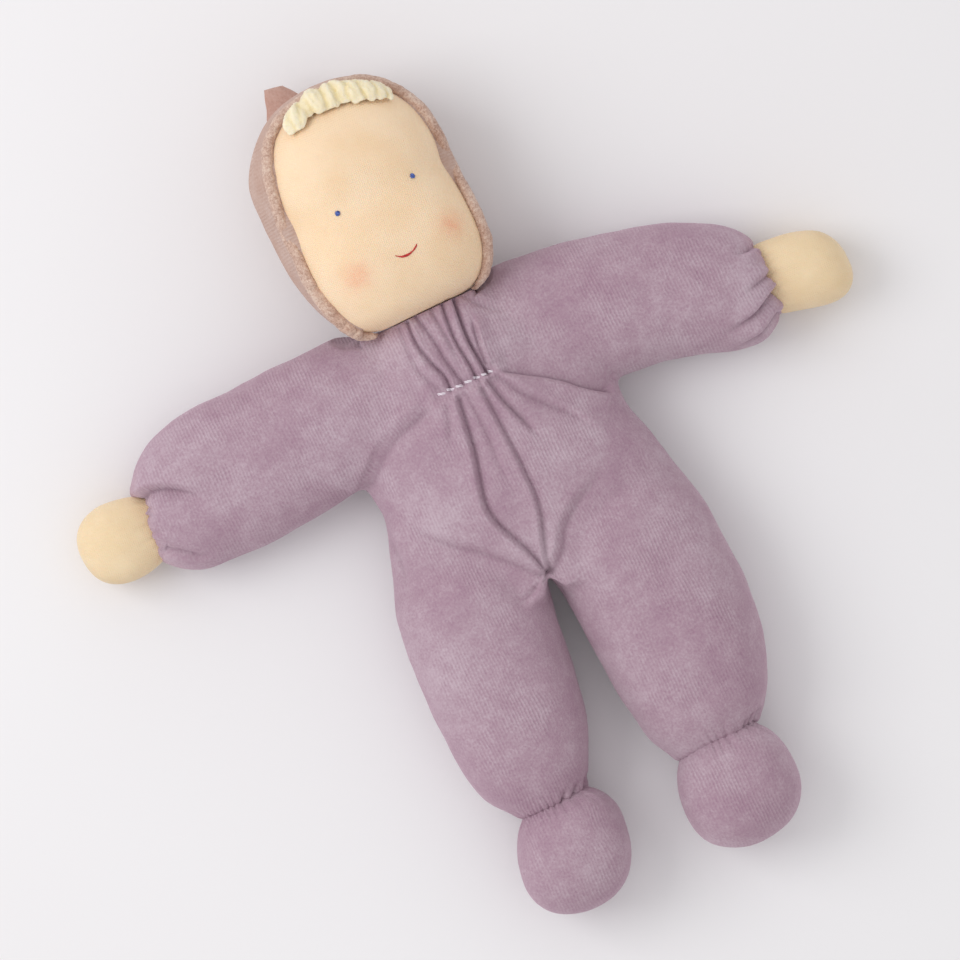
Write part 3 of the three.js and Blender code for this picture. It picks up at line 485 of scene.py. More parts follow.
def opening_shape(y):
    """Centre, height and roundness of the hood's opening at y, in the head's frame."""
    below = y < HEM_CENTRE_Y
    centre = chin_shift(y) - 1.2 * (1 - smoothstep(80, 100, y))
    return centre, np.where(below, HEM_LOWER, HEM_UPPER), np.where(below, HEM_LOWER_ROUNDNESS, HEM_ROUNDNESS)


def opening_share(x, y):
    """1 on the outline of the hood's opening, less inside it and more outside."""
    centre, height, power = opening_shape(y)
    terms = np.abs((x - centre) / HEM_HALF) ** power + np.abs((y - HEM_CENTRE_Y) / height) ** power
    return terms ** (1 / power)


def opening_point(degrees):
    angle = math.radians(degrees)
    _, height, power = opening_shape(HEM_CENTRE_Y + math.sin(angle))
    y = HEM_CENTRE_Y + float(height) * math.copysign(abs(math.sin(angle)) ** (2 / power), math.sin(angle))
    centre = float(opening_shape(y)[0])
    return centre + HEM_HALF * math.copysign(abs(math.cos(angle)) ** (2 / power), math.cos(angle)), y


def face_x(doll_x, y):
    """The x in the head's frame of a place on the face that is at doll_x in the doll's."""
    angle = math.radians(HEAD_TURN)
    x = doll_x - HEAD_X
    for _ in range(6):
        height = face_point(x, y)[2]
        x = (doll_x - HEAD_X - height * math.sin(angle)) / math.cos(angle)
    return x


# Romper: one surface over the trunk, sleeves and legs

def crotch_notch(points):
    """How far the middle of the seat is drawn up, so that the gap between the legs ends in a point."""
    return 6.5 * bell(points[:, 0], CROTCH[0], 2.5) * (1 - smoothstep(-50, -20, points[:, 1]))


def romper_surface():
    parts = [loft(refined(trunk_rows, 2), "y", 64)]
    parts += [loft(refined(rows, 2), "x", 48) for rows in arm_rows.values()]
    parts += [loft(refined(rows, 2), "y", 48) for rows in leg_rows.values()]
    thing = mesh_object("romper", *joined_parts(parts))
    with_modifier(thing, "REMESH", mode="VOXEL", voxel_size=ROMPER_VOXEL * METRES)
    mesh = thing.data
    points = points_of(mesh)
    crotch_gap = np.hypot(points[:, 0] - CROTCH[0], (points[:, 1] - CROTCH[1]) / 2)
    points = smoothed(points, edges_of(mesh), SMOOTHING_PASSES, weights=smoothstep(0, 11, crotch_gap))
    points[:, 1] += crotch_notch(points)
    set_points(mesh, points)
    return thing


def head_room_y(points):
    """The greatest y that leaves room for the head and hood to turn."""
    radius = np.hypot(points[:, 0] - HEAD_X, points[:, 2] - HEAD_Z)
    rooms = []
    for stand in (0.3, 3.2):
        rows = head_rows(stand)
        reach = np.maximum(np.maximum(rows[:, 2] + rows[:, 1], rows[:, 4]), -rows[:, 3])
        rising = rows[:, 0] < HEM_CENTRE_Y
        rooms.append(np.interp(radius, reach[rising], rows[rising, 0], left=NECK_Y, right=HEM_CENTRE_Y))
    share = smoothstep(15.5, 20.0, radius)
    return rooms[0] * (1 - share) + rooms[1] * share


def clear_head(points):
    """Presses the cloth down from the head; the shoulders stay soft and round under the hood."""
    over = np.maximum(points[:, 1] - head_room_y(points), 0.0)
    radius = np.hypot(points[:, 0] - HEAD_X, points[:, 2] - HEAD_Z)
    cleared = points.copy()
    cleared[:, 1] -= over * (0.94 - 0.34 * smoothstep(18, 25, radius))
    return cleared


# Folds

def curve_through(anchors, steps=12):
    """A smooth line through anchor points, one row a point."""
    ends = np.vstack([2 * anchors[0] - anchors[1], anchors, 2 * anchors[-1] - anchors[-2]])
    line = []
    for i in range(1, len(ends) - 2):
        for t in np.linspace(0, 1, steps, endpoint=False):
            a, b, c, d = ends[i - 1], ends[i], ends[i + 1], ends[i + 2]
            line.append(0.5 * (
                2 * b + (c - a) * t + (2 * a - 5 * b + 4 * c - d) * t * t + (3 * b - a - 3 * c + d) * t ** 3
            ))
    line.append(ends[-2])
    return np.array(line)


def along_and_off(points, line):
    """For each point, its place from 0 to 1 along a plan line and its signed distance to the line's left."""
    starts = line[:-1]
    steps = line[1:] - starts
    lengths = np.linalg.norm(steps, axis=1)
    reach = np.concatenate([[0.0], np.cumsum(lengths)])
    best = np.full(len(points), np.inf)
    place = np.zeros(len(points))
    side = np.zeros(len(points))
    for start, step, length, before in zip(starts, steps, lengths, reach):
        apart = points[:, :2] - start
        share = np.clip(apart @ step / length ** 2, 0.0, 1.0)
        gap = apart - share[:, None] * step
        distance = np.hypot(gap[:, 0], gap[:, 1])
        nearer = distance < best
        best = np.where(nearer, distance, best)
        place = np.where(nearer, (before + share * length) / reach[-1], place)
        turn = step[0] * gap[:, 1] - step[1] * gap[:, 0]
        side = np.where(nearer, np.sign(turn), side)
    return place, side * best


def fold_shape(points, anchors, depth, width, ridge, side, spread, soft, fades):
    """Lift and painted shade of a valley along a plan line, with a roll of cloth along one side of it."""
    anchors = np.array(anchors, dtype=float)
    margin = 3 * spread + width * soft * 3
    low = anchors.min(axis=0) - margin
    high = anchors.max(axis=0) + margin
    near = np.all((points[:, :2] > low) & (points[:, :2] < high), axis=1)
    place, off = along_and_off(points[near], curve_through(anchors))
    fade = smoothstep(-0.001, max(fades[0], 0.001), place) * (1 - smoothstep(1 - fades[1], 1.001, place))
    toward = off * side
    half_width = np.where(toward > 0, width, width * soft)
    valley = depth * np.exp(-(np.abs(off) / half_width) ** 1.35)
    top = 2.0 * width
    crest = ridge * smoothstep(0, top, toward) * np.exp(-np.maximum(toward - top, 0) / spread)
    lift = np.zeros(len(points))
    shade = np.zeros(len(points))
    lift[near] = fade * (crest - valley)
    # Painted shade: how much the colour is darkened along the valley line, where the fold's shadow falls
    shade[near] = fade * min(depth / 2.6, 1.0) * np.exp(-((off / (0.42 * width + 0.12)) ** 2))
    return lift, shade


STITCH_Y = 32.0
GATHER_X = 2.9
GATHER_HALF = 14.5

# Rows of a fold: plan line, depth, width, height of the roll beside it, the roll's side (1 left, -1 right),
# how far the roll spreads, how much wider the other side is, and how much of each end fades out.

# Gathers over the stitch
GATHERS = [
    ([(-9.5, 59), (-10, 52), (-9.8, 43), (-7.2, 36), (-5, 32)], 1.1, 1.5, 1.2, 1, 2.5, 1, (0, 0.1)),
    ([(-6, 59), (-6.3, 52), (-5.5, 47), (-3.9, 41.5), (-2.3, 37), (-2.4, 32)],
       2.1, 0.8, 1.1, 1, 2, 1, (0, 0)),
    ([(-2.8, 60), (-0.6, 50.5), (0.4, 41.5), (2.4, 32)], 1.5, 0.8, 0.9, 1, 2, 1, (0, 0)),
    ([(2.8, 60), (3.7, 51), (4.2, 44.5), (4.9, 37.5)], 1, 0.7, 0.5, -1, 2, 1, (0, 0.4)),
    ([(7, 60), (6.1, 50.5), (6.1, 44.5), (6.9, 37.5), (7, 32)], 1.9, 0.7, 1, -1, 2, 1, (0, 0)),
    ([(11.4, 60), (10.4, 51), (10.1, 44.5), (10.5, 38.5), (11.1, 32)], 2.6, 0.8, 1.4, -1, 2, 1, (0, 0)),
    ([(14.3, 52), (13.2, 45.5), (12.3, 40), (12, 34)], 1.5, 0.7, 1.3, 1, 2.2, 1, (0.3, 0.08)),
    ([(14, 60.5), (18.2, 55), (24, 49.6), (28.5, 46.5)], 1, 1.5, 0.6, 1, 4, 1, (0, 0.6)),
]
# Folds below the stitch and across the groin
FRONT_FOLDS = [
    ([(-0.8, 30), (-2.4, 20), (-3.9, 10), (-6.3, 0), (-8.1, -8.5), (-7.2, -15.5), (-4.5, -22),
       (-1.3, -29.5), (1.2, -40)], 2.1, 0.85, 1.5, -1, 6, 1.8, (0.04, 0.02)),
    ([(7.1, 30), (7.7, 20), (8.2, 12), (8.6, 2.7), (8.8, -6.7), (8.5, -13.4), (7.3, -19.7), (5.2, -26),
       (1.4, -39)], 1.5, 0.85, 1.3, -1, 3.5, 1.8, (0.04, 0.02)),
    ([(1.5, 30), (2.2, 20.7), (2.6, 12), (1.9, 1.8), (2.3, -7.5), (1, -15)],
       1.2, 0.9, 0.5, 1, 3, 1.6, (0.06, 0.6)),
    ([(10, 30.5), (12.3, 21), (15.2, 13), (17.4, 7), (19.8, 2)], 2.1, 0.9, 1.3, -1, 4, 2, (0.06, 0.5)),
    ([(13, 31), (18, 22.5), (22.2, 17.2), (27.7, 11.3), (32.1, 6.4), (35.4, 1), (37, -5)],
       1.7, 1.1, 1, 1, 4, 2, (0.06, 0.5)),
    ([(14, 31.5), (25.7, 25), (34, 19.3), (40, 14), (48, 8.5)], 2.9, 1.1, 0.8, -1, 4, 3.6, (0.12, 0.03)),
    ([(-5.3, 29), (-8, 20.5), (-12.5, 11)], 0.8, 1.2, 0.4, -1, 3, 1.5, (0.1, 0.6)),
    ([(-9, 30), (-18, 27.3), (-26, 25.2), (-33, 21.5), (-41, 15), (-46, 11)],
       1.6, 2.2, 1.1, -1, 4, 1.8, (0.15, 0.05)),
    ([(-37, 4), (-33, -7), (-24.3, -16.7), (-17, -22.6), (-8.5, -30.7), (-0.5, -39)],
       1.3, 1.8, 1, 1, 5, 2.6, (0.5, 0.02)),
    ([(1.4, -40), (9, -34), (13, -27.4), (21, -21), (29.5, -16.5), (35, -10)],
       1.3, 1.8, 1, 1, 5, 2.6, (0.02, 0.5)),
    ([(1.4, -36), (0.7, -40), (0.7, -44), (1, -47)], 1.5, 1.2, 0, 1, 5, 1, (0.3, 0.5)),
    ([(-4, -41), (-8, -43.2), (-12, -44)], 0.7, 0.8, 0.5, 1, 2, 1, (0.1, 0.6)),
    ([(-44.5, 3), (-43.5, -12), (-46, -27)], 0.9, 1.8, 0.9, 1, 4, 1, (0.3, 0.4)),
]
# Tucks and slits of the cuffs and ankles
END_FOLDS = [
    ([(-118, 40), (-115, 43.6), (-110.5, 44.4), (-104.4, 42.3), (-97.7, 37.4), (-93, 31.5)],
       3.4, 1.1, 1.2, 1, 4, 4.6, (0, 0.45)),
    ([(-114, 24), (-108, 19.5), (-103.8, 16.4), (-98, 14.6)], 1.6, 1, 1, -1, 2.5, 1.8, (0, 0.5)),
    ([(-117, 40), (-113, 38.6)], 1, 0.6, 0, 1, 5, 1, (0, 0.5)),
    ([(-117, 37), (-113.5, 36)], 0.9, 0.6, 0, 1, 5, 1, (0, 0.5)),
    ([(115, 33), (108.7, 32.6), (103.5, 33.7)], 1.5, 0.9, 0.4, 1, 2.5, 1.8, (0, 0.6)),
    ([(116, 22.5), (108, 20.6), (101, 19)], 1.9, 1, 0.5, -1, 3, 1.8, (0, 0.6)),
    ([(115, 17), (110.1, 14.4), (103.7, 11.2), (96.8, 10), (88, 9.4)], 2.7, 1.1, 0.9, -1, 4, 2.2, (0, 0.6)),
    ([(111, 8.5), (103, 4.4), (96.3, 3.4), (87, 3.6)], 1.8, 1.1, 0.7, -1, 3, 1.8, (0, 0.6)),
    ([(48.4, -110), (45.6, -113.2), (43.1, -116)], 1.7, 0.7, 0, 1, 5, 1, (0.4, 0)),
    ([(45.6, -110.5), (43, -113.6), (41, -116)], 1.6, 0.7, 0, 1, 5, 1, (0.4, 0)),
    ([(42.6, -111.6), (40.6, -114), (38.8, -116)], 1.3, 0.7, 0, 1, 5, 1, (0.4, 0)),
    ([(-14.6, -105.5), (-17, -109), (-19.1, -112)], 1.7, 0.7, 0, 1, 5, 1, (0.4, 0)),
    ([(-19.6, -107.4), (-21.6, -110), (-23.4, -112)], 1.6, 0.7, 0, 1, 5, 1, (0.4, 0)),
    ([(-24.3, -107.4), (-26, -110), (-27.9, -112)], 1.2, 0.7, 0, 1, 5, 1, (0.4, 0)),
]


def chest_crown(points):
    """The gathered cloth stands a little proud between the chin and the stitch, and is drawn in along it."""
    x, y = points[:, 0], points[:, 1]
    below = np.maximum(0.0, STITCH_Y - y)
    edge = 1 - smoothstep(0.8, 1.2, np.abs(x - GATHER_X) / (GATHER_HALF * (1 + below / 26)))
    pinch = 0.9 * bell(y, STITCH_Y, 1.6) * (1 - smoothstep(9.5, 12.5, np.abs(x - GATHER_X)))
    return edge * (1 - smoothstep(8, 26, below)) - pinch


def middle_share(points):
    """1 on the middle panel between the stitch and the groin, where the pile is brushed the other way."""
    share = smoothstep(-44, -38, points[:, 1]) * (1 - smoothstep(20, 44, points[:, 1]))
    for line, way in (
        ([(-46, 12), (-37, 2), (-33, -7), (-17, -22.6), (0, -40)], 1),
        ([(46, 10), (40, -6), (29.5, -16.5), (13, -27.4), (1.4, -40)], -1),
    ):
        _, off = along_and_off(points, curve_through(np.array(line, dtype=float)))
        inward = off * way
        share = share * smoothstep(-1.5, 3.0, inward) * (0.45 + 0.55 * (1 - smoothstep(6, 26, inward)))
    return share


def pucker_lift(points, centre, axis, end, length, count, depth, seed):
    """Small uneven gathers round a drawn-in end, deepest at the thread."""
    along = 0 if axis == "x" else 1
    across = 1 - along
    angle = np.arctan2(points[:, 2] - centre[1], points[:, across] - centre[0])
    nearness = np.clip(1 - np.abs(points[:, along] - end) / length, 0.0, 1.0)
    phase = count * angle + 1.9 * np.sin(2 * angle + seed) + 1.3 * np.sin(5 * angle + 2 * seed)
    waves = np.abs(np.sin(phase / 2))
    uneven = 0.6 + 0.4 * np.sin(3 * angle + seed) * np.sin(7 * angle + seed)
    return depth * uneven * nearness ** 1.3 * (waves ** 0.7 - 0.6)


def end_puckers(points, rows, axis, end, *shape):
    """Puckers round the drawn-in end of a limb."""
    row = row_at(rows, end)
    return pucker_lift(points, (row[1], (row[3] + row[4]) / 2), axis, end, *shape)


def limb_puckers(points):
    lift = np.zeros(len(points))
    for side, rows in arm_rows.items():
        reach = ARMS[side]["reach"]
        near = points[:, 0] * np.sign(reach) > abs(reach) - 10
        lift += np.where(near, end_puckers(points, rows, "x", reach, 9.0, 15, 1.3, 1.0), 0.0)
    for side, rows in leg_rows.items():
        ankle = LEGS[side]["ankle_y"]
        near = (points[:, 1] < ankle + 14) & (np.sign(points[:, 0]) == np.sign(LEGS[side]["foot_x"]))
        lift += np.where(near, end_puckers(points, rows, "y", ankle, 8.0, 26, 1.1, 2.0), 0.0)
    return lift


# Simulation: the stuffing presses the cloth out between its tied places

CLOTH_FRAMES = 20

# How far pressure may move the cloth in and out
PRESSED_LIMITS = (-1.5, 1.8)
CLOTH_SETTINGS = {
    "use_pressure": True,
    "uniform_pressure_force": 4.0,
    "vertex_group_mass": "pins",
    "quality": 6,
    "tension_stiffness": 12.0,
    "compression_stiffness": 12.0,
    "bending_stiffness": 0.6,
}


def pressed_shape(thing):
    """How far pressure moves the cloth, worked out on a coarse copy and carried to the fine one."""
    coarse = new_object("coarse", thing.data.copy())
    with_modifier(coarse, "REMESH", mode="VOXEL", voxel_size=SIMULATION_VOXEL * METRES)
    rest = points_of(coarse.data)
    pins = coarse.vertex_groups.new(name="pins")
    for index, hold in enumerate(tied_share(rest)):
        pins.add([index], float(hold), "REPLACE")
    cloth = coarse.modifiers.new("Cloth", "CLOTH")
    for key, value in CLOTH_SETTINGS.items():
        setattr(cloth.settings, key, value)
    cloth.settings.effector_weights.gravity = 0.0
    scene = bpy.context.scene
    for number in range(1, CLOTH_FRAMES + 1):
        scene.frame_set(number)
    graph = bpy.context.evaluated_depsgraph_get()
    moved = points_of(coarse.evaluated_get(graph).data)
    scene.frame_set(1)
    shift = moved - rest
    length = np.linalg.norm(shift, axis=1)
    print("pressure moves", round(float(length.mean()), 2), round(float(length.max()), 2), "mm")
    tree = KDTree(len(rest))
    for index, point in enumerate(rest):
        tree.insert(point, index)
    tree.balance()
    fine = points_of(thing.data)
    carried = np.zeros_like(fine)
    for index, point in enumerate(fine):
        total = 0.0
        for _, near, distance in tree.find_n(point, 5):
            weight = 1 / (distance + 0.5) ** 2
            carried[index] += weight * shift[near]
            total += weight
        carried[index] /= total
    bpy.data.objects.remove(coarse)
    return carried


def tied_share(points):
    """1 where the cloth is tied or sewn down, falling to 0 away from it."""
    share = smoothstep(46, 60, points[:, 1])
    for arm in ARMS.values():
        share = np.maximum(share, smoothstep(abs(arm["reach"]) - 8, abs(arm["reach"]), np.abs(points[:, 0])))
    for leg in LEGS.values():
        same = np.sign(points[:, 0]) == np.sign(leg["foot_x"])
        near = smoothstep(-leg["ankle_y"] - 8, -leg["ankle_y"], -points[:, 1])
        share = np.maximum(share, np.where(same, near, 0.0))
    return share


def refine_region(thing, inside):
    """Splits the faces of a region once more, so that narrow folds stay sharp."""
    mesh = thing.data
    points = points_of(mesh)
    chosen = inside(points)
    shape = bmesh.new()
    shape.from_mesh(mesh)
    shape.verts.ensure_lookup_table()
    faces = [face for face in shape.faces if all(chosen[corner.index] for corner in face.verts)]
    edges = list({edge for face in faces for edge in face.edges})
    bmesh.ops.subdivide_edges(shape, edges=edges, cuts=1, use_grid_fill=True)
    shape.to_mesh(mesh)
    shape.free()
    mesh.shade_smooth()


def chest_region(points):
    x, y, z = points.T
    chest = (x > -24) & (x < 46) & (y > -6) & (y < 64) & (z > 24)
    crotch = (x > -18) & (x < 20) & (y > -48) & (y <= -6) & (z > 20)
    return chest | crotch


def cuff_region(points):
    x, y, _ = points.T
    return (x < -96) | (x > 94) | (y < -102)


# How far inside the cloth a piece's cap lies
CAP_DEPTH = 2.5


def piece_of(mesh, mask, name, normals):
    """A closed piece of a larger mesh: the marked faces and a cap over each open edge."""
    shape = bmesh.new()
    shape.from_mesh(mesh)
    shape.faces.ensure_lookup_table()
    source = shape.verts.layers.int.new("source")
    for corner in shape.verts:
        corner[source] = corner.index
    bmesh.ops.delete(shape, geom=[face for face in shape.faces if not mask[face.index]], context="FACES")
    open_edges = [edge for edge in shape.edges if len(edge.link_faces) == 1]
    rim = bmesh.ops.extrude_edge_only(shape, edges=open_edges)["geom"]
    for corner in rim:
        if isinstance(corner, bmesh.types.BMVert):
            corner.co -= Vector(normals[corner[source]]) * CAP_DEPTH * METRES
            corner.co.z = max(corner.co.z, 0.0)
    bmesh.ops.edgeloop_fill(shape, edges=[edge for edge in rim if isinstance(edge, bmesh.types.BMEdge)])
    indices = np.array([corner[source] for corner in shape.verts])
    part = bpy.data.meshes.new(name)
    shape.to_mesh(part)
    shape.free()
    part.attributes.remove(part.attributes["source"])
    part.shade_smooth()
    part.normals_split_custom_set_from_vertices(normals[indices].tolist())
    return new_object(name, part)


def frame_place(x, y, z=0.0):
    return tuple(float(value) for value in to_frame([[x, y, z]])[0])


# Where each limb's piece is cut from the romper, as the first of the two numbers
ARM_BLEND = (-4.0, 20.0)
LEG_BLEND = (0.0, 28.0)
LEG_LEAN = {"right": (-0.305, -0.952), "left": (0.305, -0.952)}


def arm_line(side):
    """The middle of the shoulder's crease line and the direction out along the arm, in plan."""
    arm = ARMS[side]
    armpit = np.array(arm["armpit"])
    shoulder = np.array(arm["shoulder"])
    line = unit(shoulder - armpit)
    out = np.array([line[1], -line[0]]) * math.copysign(1, arm["reach"]) * math.copysign(1, line[1])
    return (armpit + shoulder) / 2, out


def romper_cloth():
    thing = romper_surface()
    mesh = thing.data
    shift = pressed_shape(thing)
    points = points_of(mesh)
    edges = edges_of(mesh)
    shift = smoothed(shift, edges, 6, back=0.0)
    normals = normals_of(mesh)
    out = (shift * normals).sum(axis=1)
    out = np.clip(out - np.median(out), *PRESSED_LIMITS)
    set_points(mesh, points + out[:, None] * normals)
    with_modifier(thing, "SUBSURF", levels=1, render_levels=1)
    refine_region(thing, lambda points: chest_region(points) | cuff_region(points))
    mesh = thing.data
    points = points_of(mesh)
    edges = edges_of(mesh)
    points = smoothed(points, edges, 3)
    set_points(mesh, points)
    store(mesh, "cloth", points)
    normals = normals_of(mesh)
    front = smoothstep(0.05, 0.5, normals[:, 2])
    ends = smoothstep(-0.45, 0.1, normals[:, 2])
    lift = chest_crown(points) * front
    shade = np.zeros(len(points))
    for table, facing in ((GATHERS, front), (FRONT_FOLDS, front), (END_FOLDS, ends)):
        for fold in table:
            extra, dark = fold_shape(points, *fold)
            lift += extra * facing
            shade = np.maximum(shade, dark * facing)
    lift += limb_puckers(points)
    # The crease attribute holds painted shade: the velour's colour is darkened along each fold's valley
    store(mesh, "crease", shade)
    store(mesh, "ribbed", ribbed_share(normals, 0))
    store(mesh, "nap", middle_share(points) * front)
    slack = noise_at(points, 17.0, 3) * 0.7 + noise_at(points, 7.0, 5) * 0.22
    points = points + (lift + slack)[:, None] * normals
    points = smoothed(points, edges, 1, back=0.0, strength=0.35)
    points = clear_head(points)
    set_points(mesh, above_floor(points))
    return thing


def romper_pieces():
    """The romper cut into pieces: the trunk, two sleeves and two legs."""
    whole = romper_cloth()
    mesh = whole.data
    centres = face_centres(mesh)[:, :2]
    taken = np.zeros(len(centres), dtype=bool)
    made = {}
    normals = normals_of(mesh)
    for side in ARMS:
        middle, out = arm_line(side)
        mask = ((centres - middle) @ out > ARM_BLEND[0]) & ~taken
        mask &= np.sign(centres[:, 0]) == np.sign(ARMS[side]["reach"])
        mask &= centres[:, 1] > -5
        taken |= mask
        made[f"sleeve_cloth_{side}"] = mask
    for side, lean in LEG_LEAN.items():
        beyond = (centres - np.array(CROTCH)) @ np.array(lean) > LEG_BLEND[0]
        half = (centres[:, 0] - CROTCH[0]) * LEGS[side]["foot_x"] > 0
        mask = beyond & half & ~taken
        taken |= mask
        made[f"leg_cloth_{side}"] = mask
    made["romper_cloth"] = ~taken
    pieces = {name: piece_of(mesh, mask, name, normals) for name, mask in made.items()}
    bpy.data.objects.remove(whole)
    return pieces


def attach_romper(pieces):
    torso = pieces["romper_cloth"]
    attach(torso, "torso")
    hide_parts("romper_torso", "torso_stuffing")
    for side in ARMS:
        piece = pieces[f"sleeve_cloth_{side}"]
        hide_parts(f"sleeve_{side}", f"arm_stuffing_{side}", f"wrist_thread_{side}")
        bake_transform(piece)
    for side, lean in LEG_LEAN.items():
        piece = pieces[f"leg_cloth_{side}"]
        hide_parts(f"leg_cover_{side}", f"leg_stuffing_{side}", f"ankle_thread_{side}")
        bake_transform(piece)


# Hands and feet

# Rows of a hand: [millimetres past the thread, half width share, half height share]
HAND_SHAPES = {
    "right": ([-10, 0.5, 0.5], [-5, 0.66, 0.62], [-1, 0.8, 0.75], [2, 0.88, 0.84], [6, 0.96, 0.94],
              [11, 1, 1]),
    "left": ([-10, 0.56, 0.5], [-5, 0.74, 0.62], [-1, 0.87, 0.75], [2, 0.92, 0.84], [6, 0.95, 0.93],
             [13, 0.965, 1]),
}

TIP_ROUNDNESS = 2.35


def hand(side):
    arm = ARMS[side]
    out = math.copysign(1, arm["reach"])
    radii = HAND_RADII
    shape = HAND_SHAPES[side]
    rows = [[step, arm["hand_y"], wide * radii[1], high * radii[2]] for step, wide, high in shape]
    tip_start, tip_wide, _ = shape[-1]
    tip_length = arm["hand_reach"] - tip_start
    for share in np.sin(np.linspace(0.12, 0.985, 16) * math.pi / 2):
        size = (1 - share ** TIP_ROUNDNESS) ** (1 / TIP_ROUNDNESS)
        along = tip_start + share * tip_length
        rows.append([along, arm["hand_y"], size * tip_wide * radii[1], size * radii[2]])
    middle = radii[2] - REST_FLAT
    table = np.array([[arm["reach"] + out * step, across, wide, middle - high, middle + high]
                      for step, across, wide, high in rows])
    table[:, 1] += arm["hand_bend"] * np.maximum(out * (table[:, 0] - arm["reach"]) / arm["hand_reach"], 0.0)
    points, faces = loft(refined(table, 3), "x", 88, BALL_ROUNDNESS, BALL_ROUNDNESS, 0.5)
    thing = mesh_object(f"hand_jersey_{side}", points, faces)
    points = stretch_skin(thing, HAND_VOXEL, 8)
    lift = pucker_lift(points, (arm["hand_y"], middle), "x", arm["reach"], 7.0, 16, 0.7, 4.0)
    push_out(thing, lift + 0.35 * noise_at(points, 9.0, 11))
    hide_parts(f"hand_skin_{side}", f"hand_wool_{side}")
    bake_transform(thing)
    return thing


def foot(side):
    leg = LEGS[side]
    centre_y = leg["ankle_y"] - leg["foot_reach"] + FOOT_RADII[1]
    radii = (FOOT_RADII[1], leg["foot_half"], FOOT_RADII[2])
    rows = ball_rows(centre_y, leg["foot_x"] - leg["foot_lean"], FOOT_RADII[2] - REST_FLAT, radii, 52)
    rows[:, 1] += 2 * leg["foot_lean"] * smoothstep(centre_y - 12, centre_y + 16, rows[:, 0])
    ball = loft(rows, "y", 72, BALL_ROUNDNESS, BALL_ROUNDNESS, 0.5)
    ankle = row_at(leg_rows[side], leg["ankle_y"])
    neck_rows = []
    for step, share in ((9.0, 0.8), (3.0, 0.86), (-3.0, 0.98), (-7.0, 0.9)):
        middle = (ankle[3] + ankle[4]) / 2
        half_height = (ankle[4] - ankle[3]) / 2 * share
        neck_rows.append([leg["ankle_y"] + step, ankle[1], ankle[2] * share,
                          middle - half_height, middle + half_height])
    neck = loft(refined(np.array(neck_rows), 2), "y", 56)
    thing = mesh_object(f"foot_cloth_{side}", *joined_parts([ball, neck]))
    points = stretch_skin(thing, FOOT_VOXEL, 10)
    store(thing.data, "ribbed", ribbed_share(normals_of(thing.data), 0))
    centre = (leg["foot_x"], FOOT_RADII[2] - REST_FLAT)
    lift = pucker_lift(points, centre, "y", leg["ankle_y"], 8.0, 26, 1.2, 2.0)
    push_out(thing, lift + 0.5 * noise_at(points, 12.0, 13))
    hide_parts(f"foot_cover_{side}", f"foot_wool_{side}")
    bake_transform(thing)
    return thing


# Head, hood, hem, fringe and face

# Half widths, backs and fronts of the hood's rows, which have no dent at the eyes
HOOD_SHARES = {
    0.3: (0.965, 0.98, 0.98),
    0.42: (0.975, 1.01, 0.985),
    0.522: (0.98, 1.02, 0.97),
    0.62: (0.985, 1.02, 0.97),
    0.753: (0.955, 0.975, 0.925),
}


def hood_rows():
    rows = head_rows()
    for row, (place, *_) in zip(rows, HEAD_SHARES):
        if place in HOOD_SHARES:
            half, back, front = HOOD_SHARES[place]
            row[2] = half * HEAD_HALF
            row[3] = HEAD_RISE - back * HEAD_HALF_DEPTH
            row[4] = HEAD_RISE + front * HEAD_HALF_DEPTH
    return rows


def dense_head(table, rings=110, sides=160):
    """The head's form with many even rings and sides."""
    rows = refined(table, 3)
    places = np.linspace(0, 1, rings)
    order = np.linspace(0, 1, len(rows))
    dense = np.array([[np.interp(place, order, rows[:, k]) for k in range(5)] for place in places])
    chin = np.array([0, NECK_Y, HEAD_RISE])
    crown = np.array([0, NECK_Y + HEAD_HEIGHT, HEAD_RISE])
    return loft(dense, "y", sides, BALL_ROUNDNESS, BALL_ROUNDNESS, 0.5, (chin, crown))


def head_skin():
    points, faces = dense_head(head_rows())
    thing = cloth_object("head_jersey", points, faces, from_head)
    x, y = points[:, 0], points[:, 1]
    eye_line = -0.6 * bell(y, 103.5, 7.0) * smoothstep(12, 27, x)
    cheeks = 0.5 * bell(y, 84, 13.0) * bell(np.abs(x), 19, 10.0)
    push_out(thing, eye_line + cheeks)
    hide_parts("head_skin", "head_gauze", "head_wool", "eye_line_thread")
    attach(thing, "head")
    return thing


HOOD_STAND = 2.6

# How deep the hood's hidden part lies under the skin
HOOD_SINK = 3.0

# Where the hood is open under the chin, in the head's frame
UNDER_CHIN_Y = 62.0
UNDER_CHIN_HALF = 19.5
NECK_OPENING = (61.5, 63.5)


def hood_cloth():
    points, faces = dense_head(hood_rows(), 150, 200)
    thing = cloth_object("hood_cloth", points, faces, from_head)
    x, y, z = points.T
    edge = opening_share(x, y)
    share = edge + smoothstep(-1.0, 3.0, HEAD_RISE - z)
    under_chin = (y < UNDER_CHIN_Y) & (np.abs(x - CHIN_LEAN) < UNDER_CHIN_HALF) & (z > HEAD_RISE - 8)
    share = np.where(under_chin, 0.5, share)
    shown = smoothstep(0.955, 1.015, share)
    neck_open = 1 - smoothstep(*NECK_OPENING, y)
    full = np.maximum(smoothstep(1.1, 1.5, edge), smoothstep(0.0, 12.0, HEAD_RISE - z))
    swell = (HOOD_STAND + 0.8 * full) * (0.6 + 0.4 * smoothstep(62, 92, y))
    lift = shown * (swell + HOOD_SINK) - HOOD_SINK
    lift = lift * (1 - neck_open) - HOOD_SINK * neck_open
    crease = -0.8 * bell(edge, 1.15, 0.03) * smoothstep(HEAD_RISE, HEAD_RISE + 6, z)
    slack = 0.3 * noise_at(points, 22.0, 21) + 0.12 * noise_at(points, 7.0, 22)
    lift = lift + shown * (crease + slack)
    store(thing.data, "ribbed", ribbed_share(normals_of(thing.data), 1))
    push_out(thing, lift)
    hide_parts("hood")
    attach(thing, "head")
    return thing


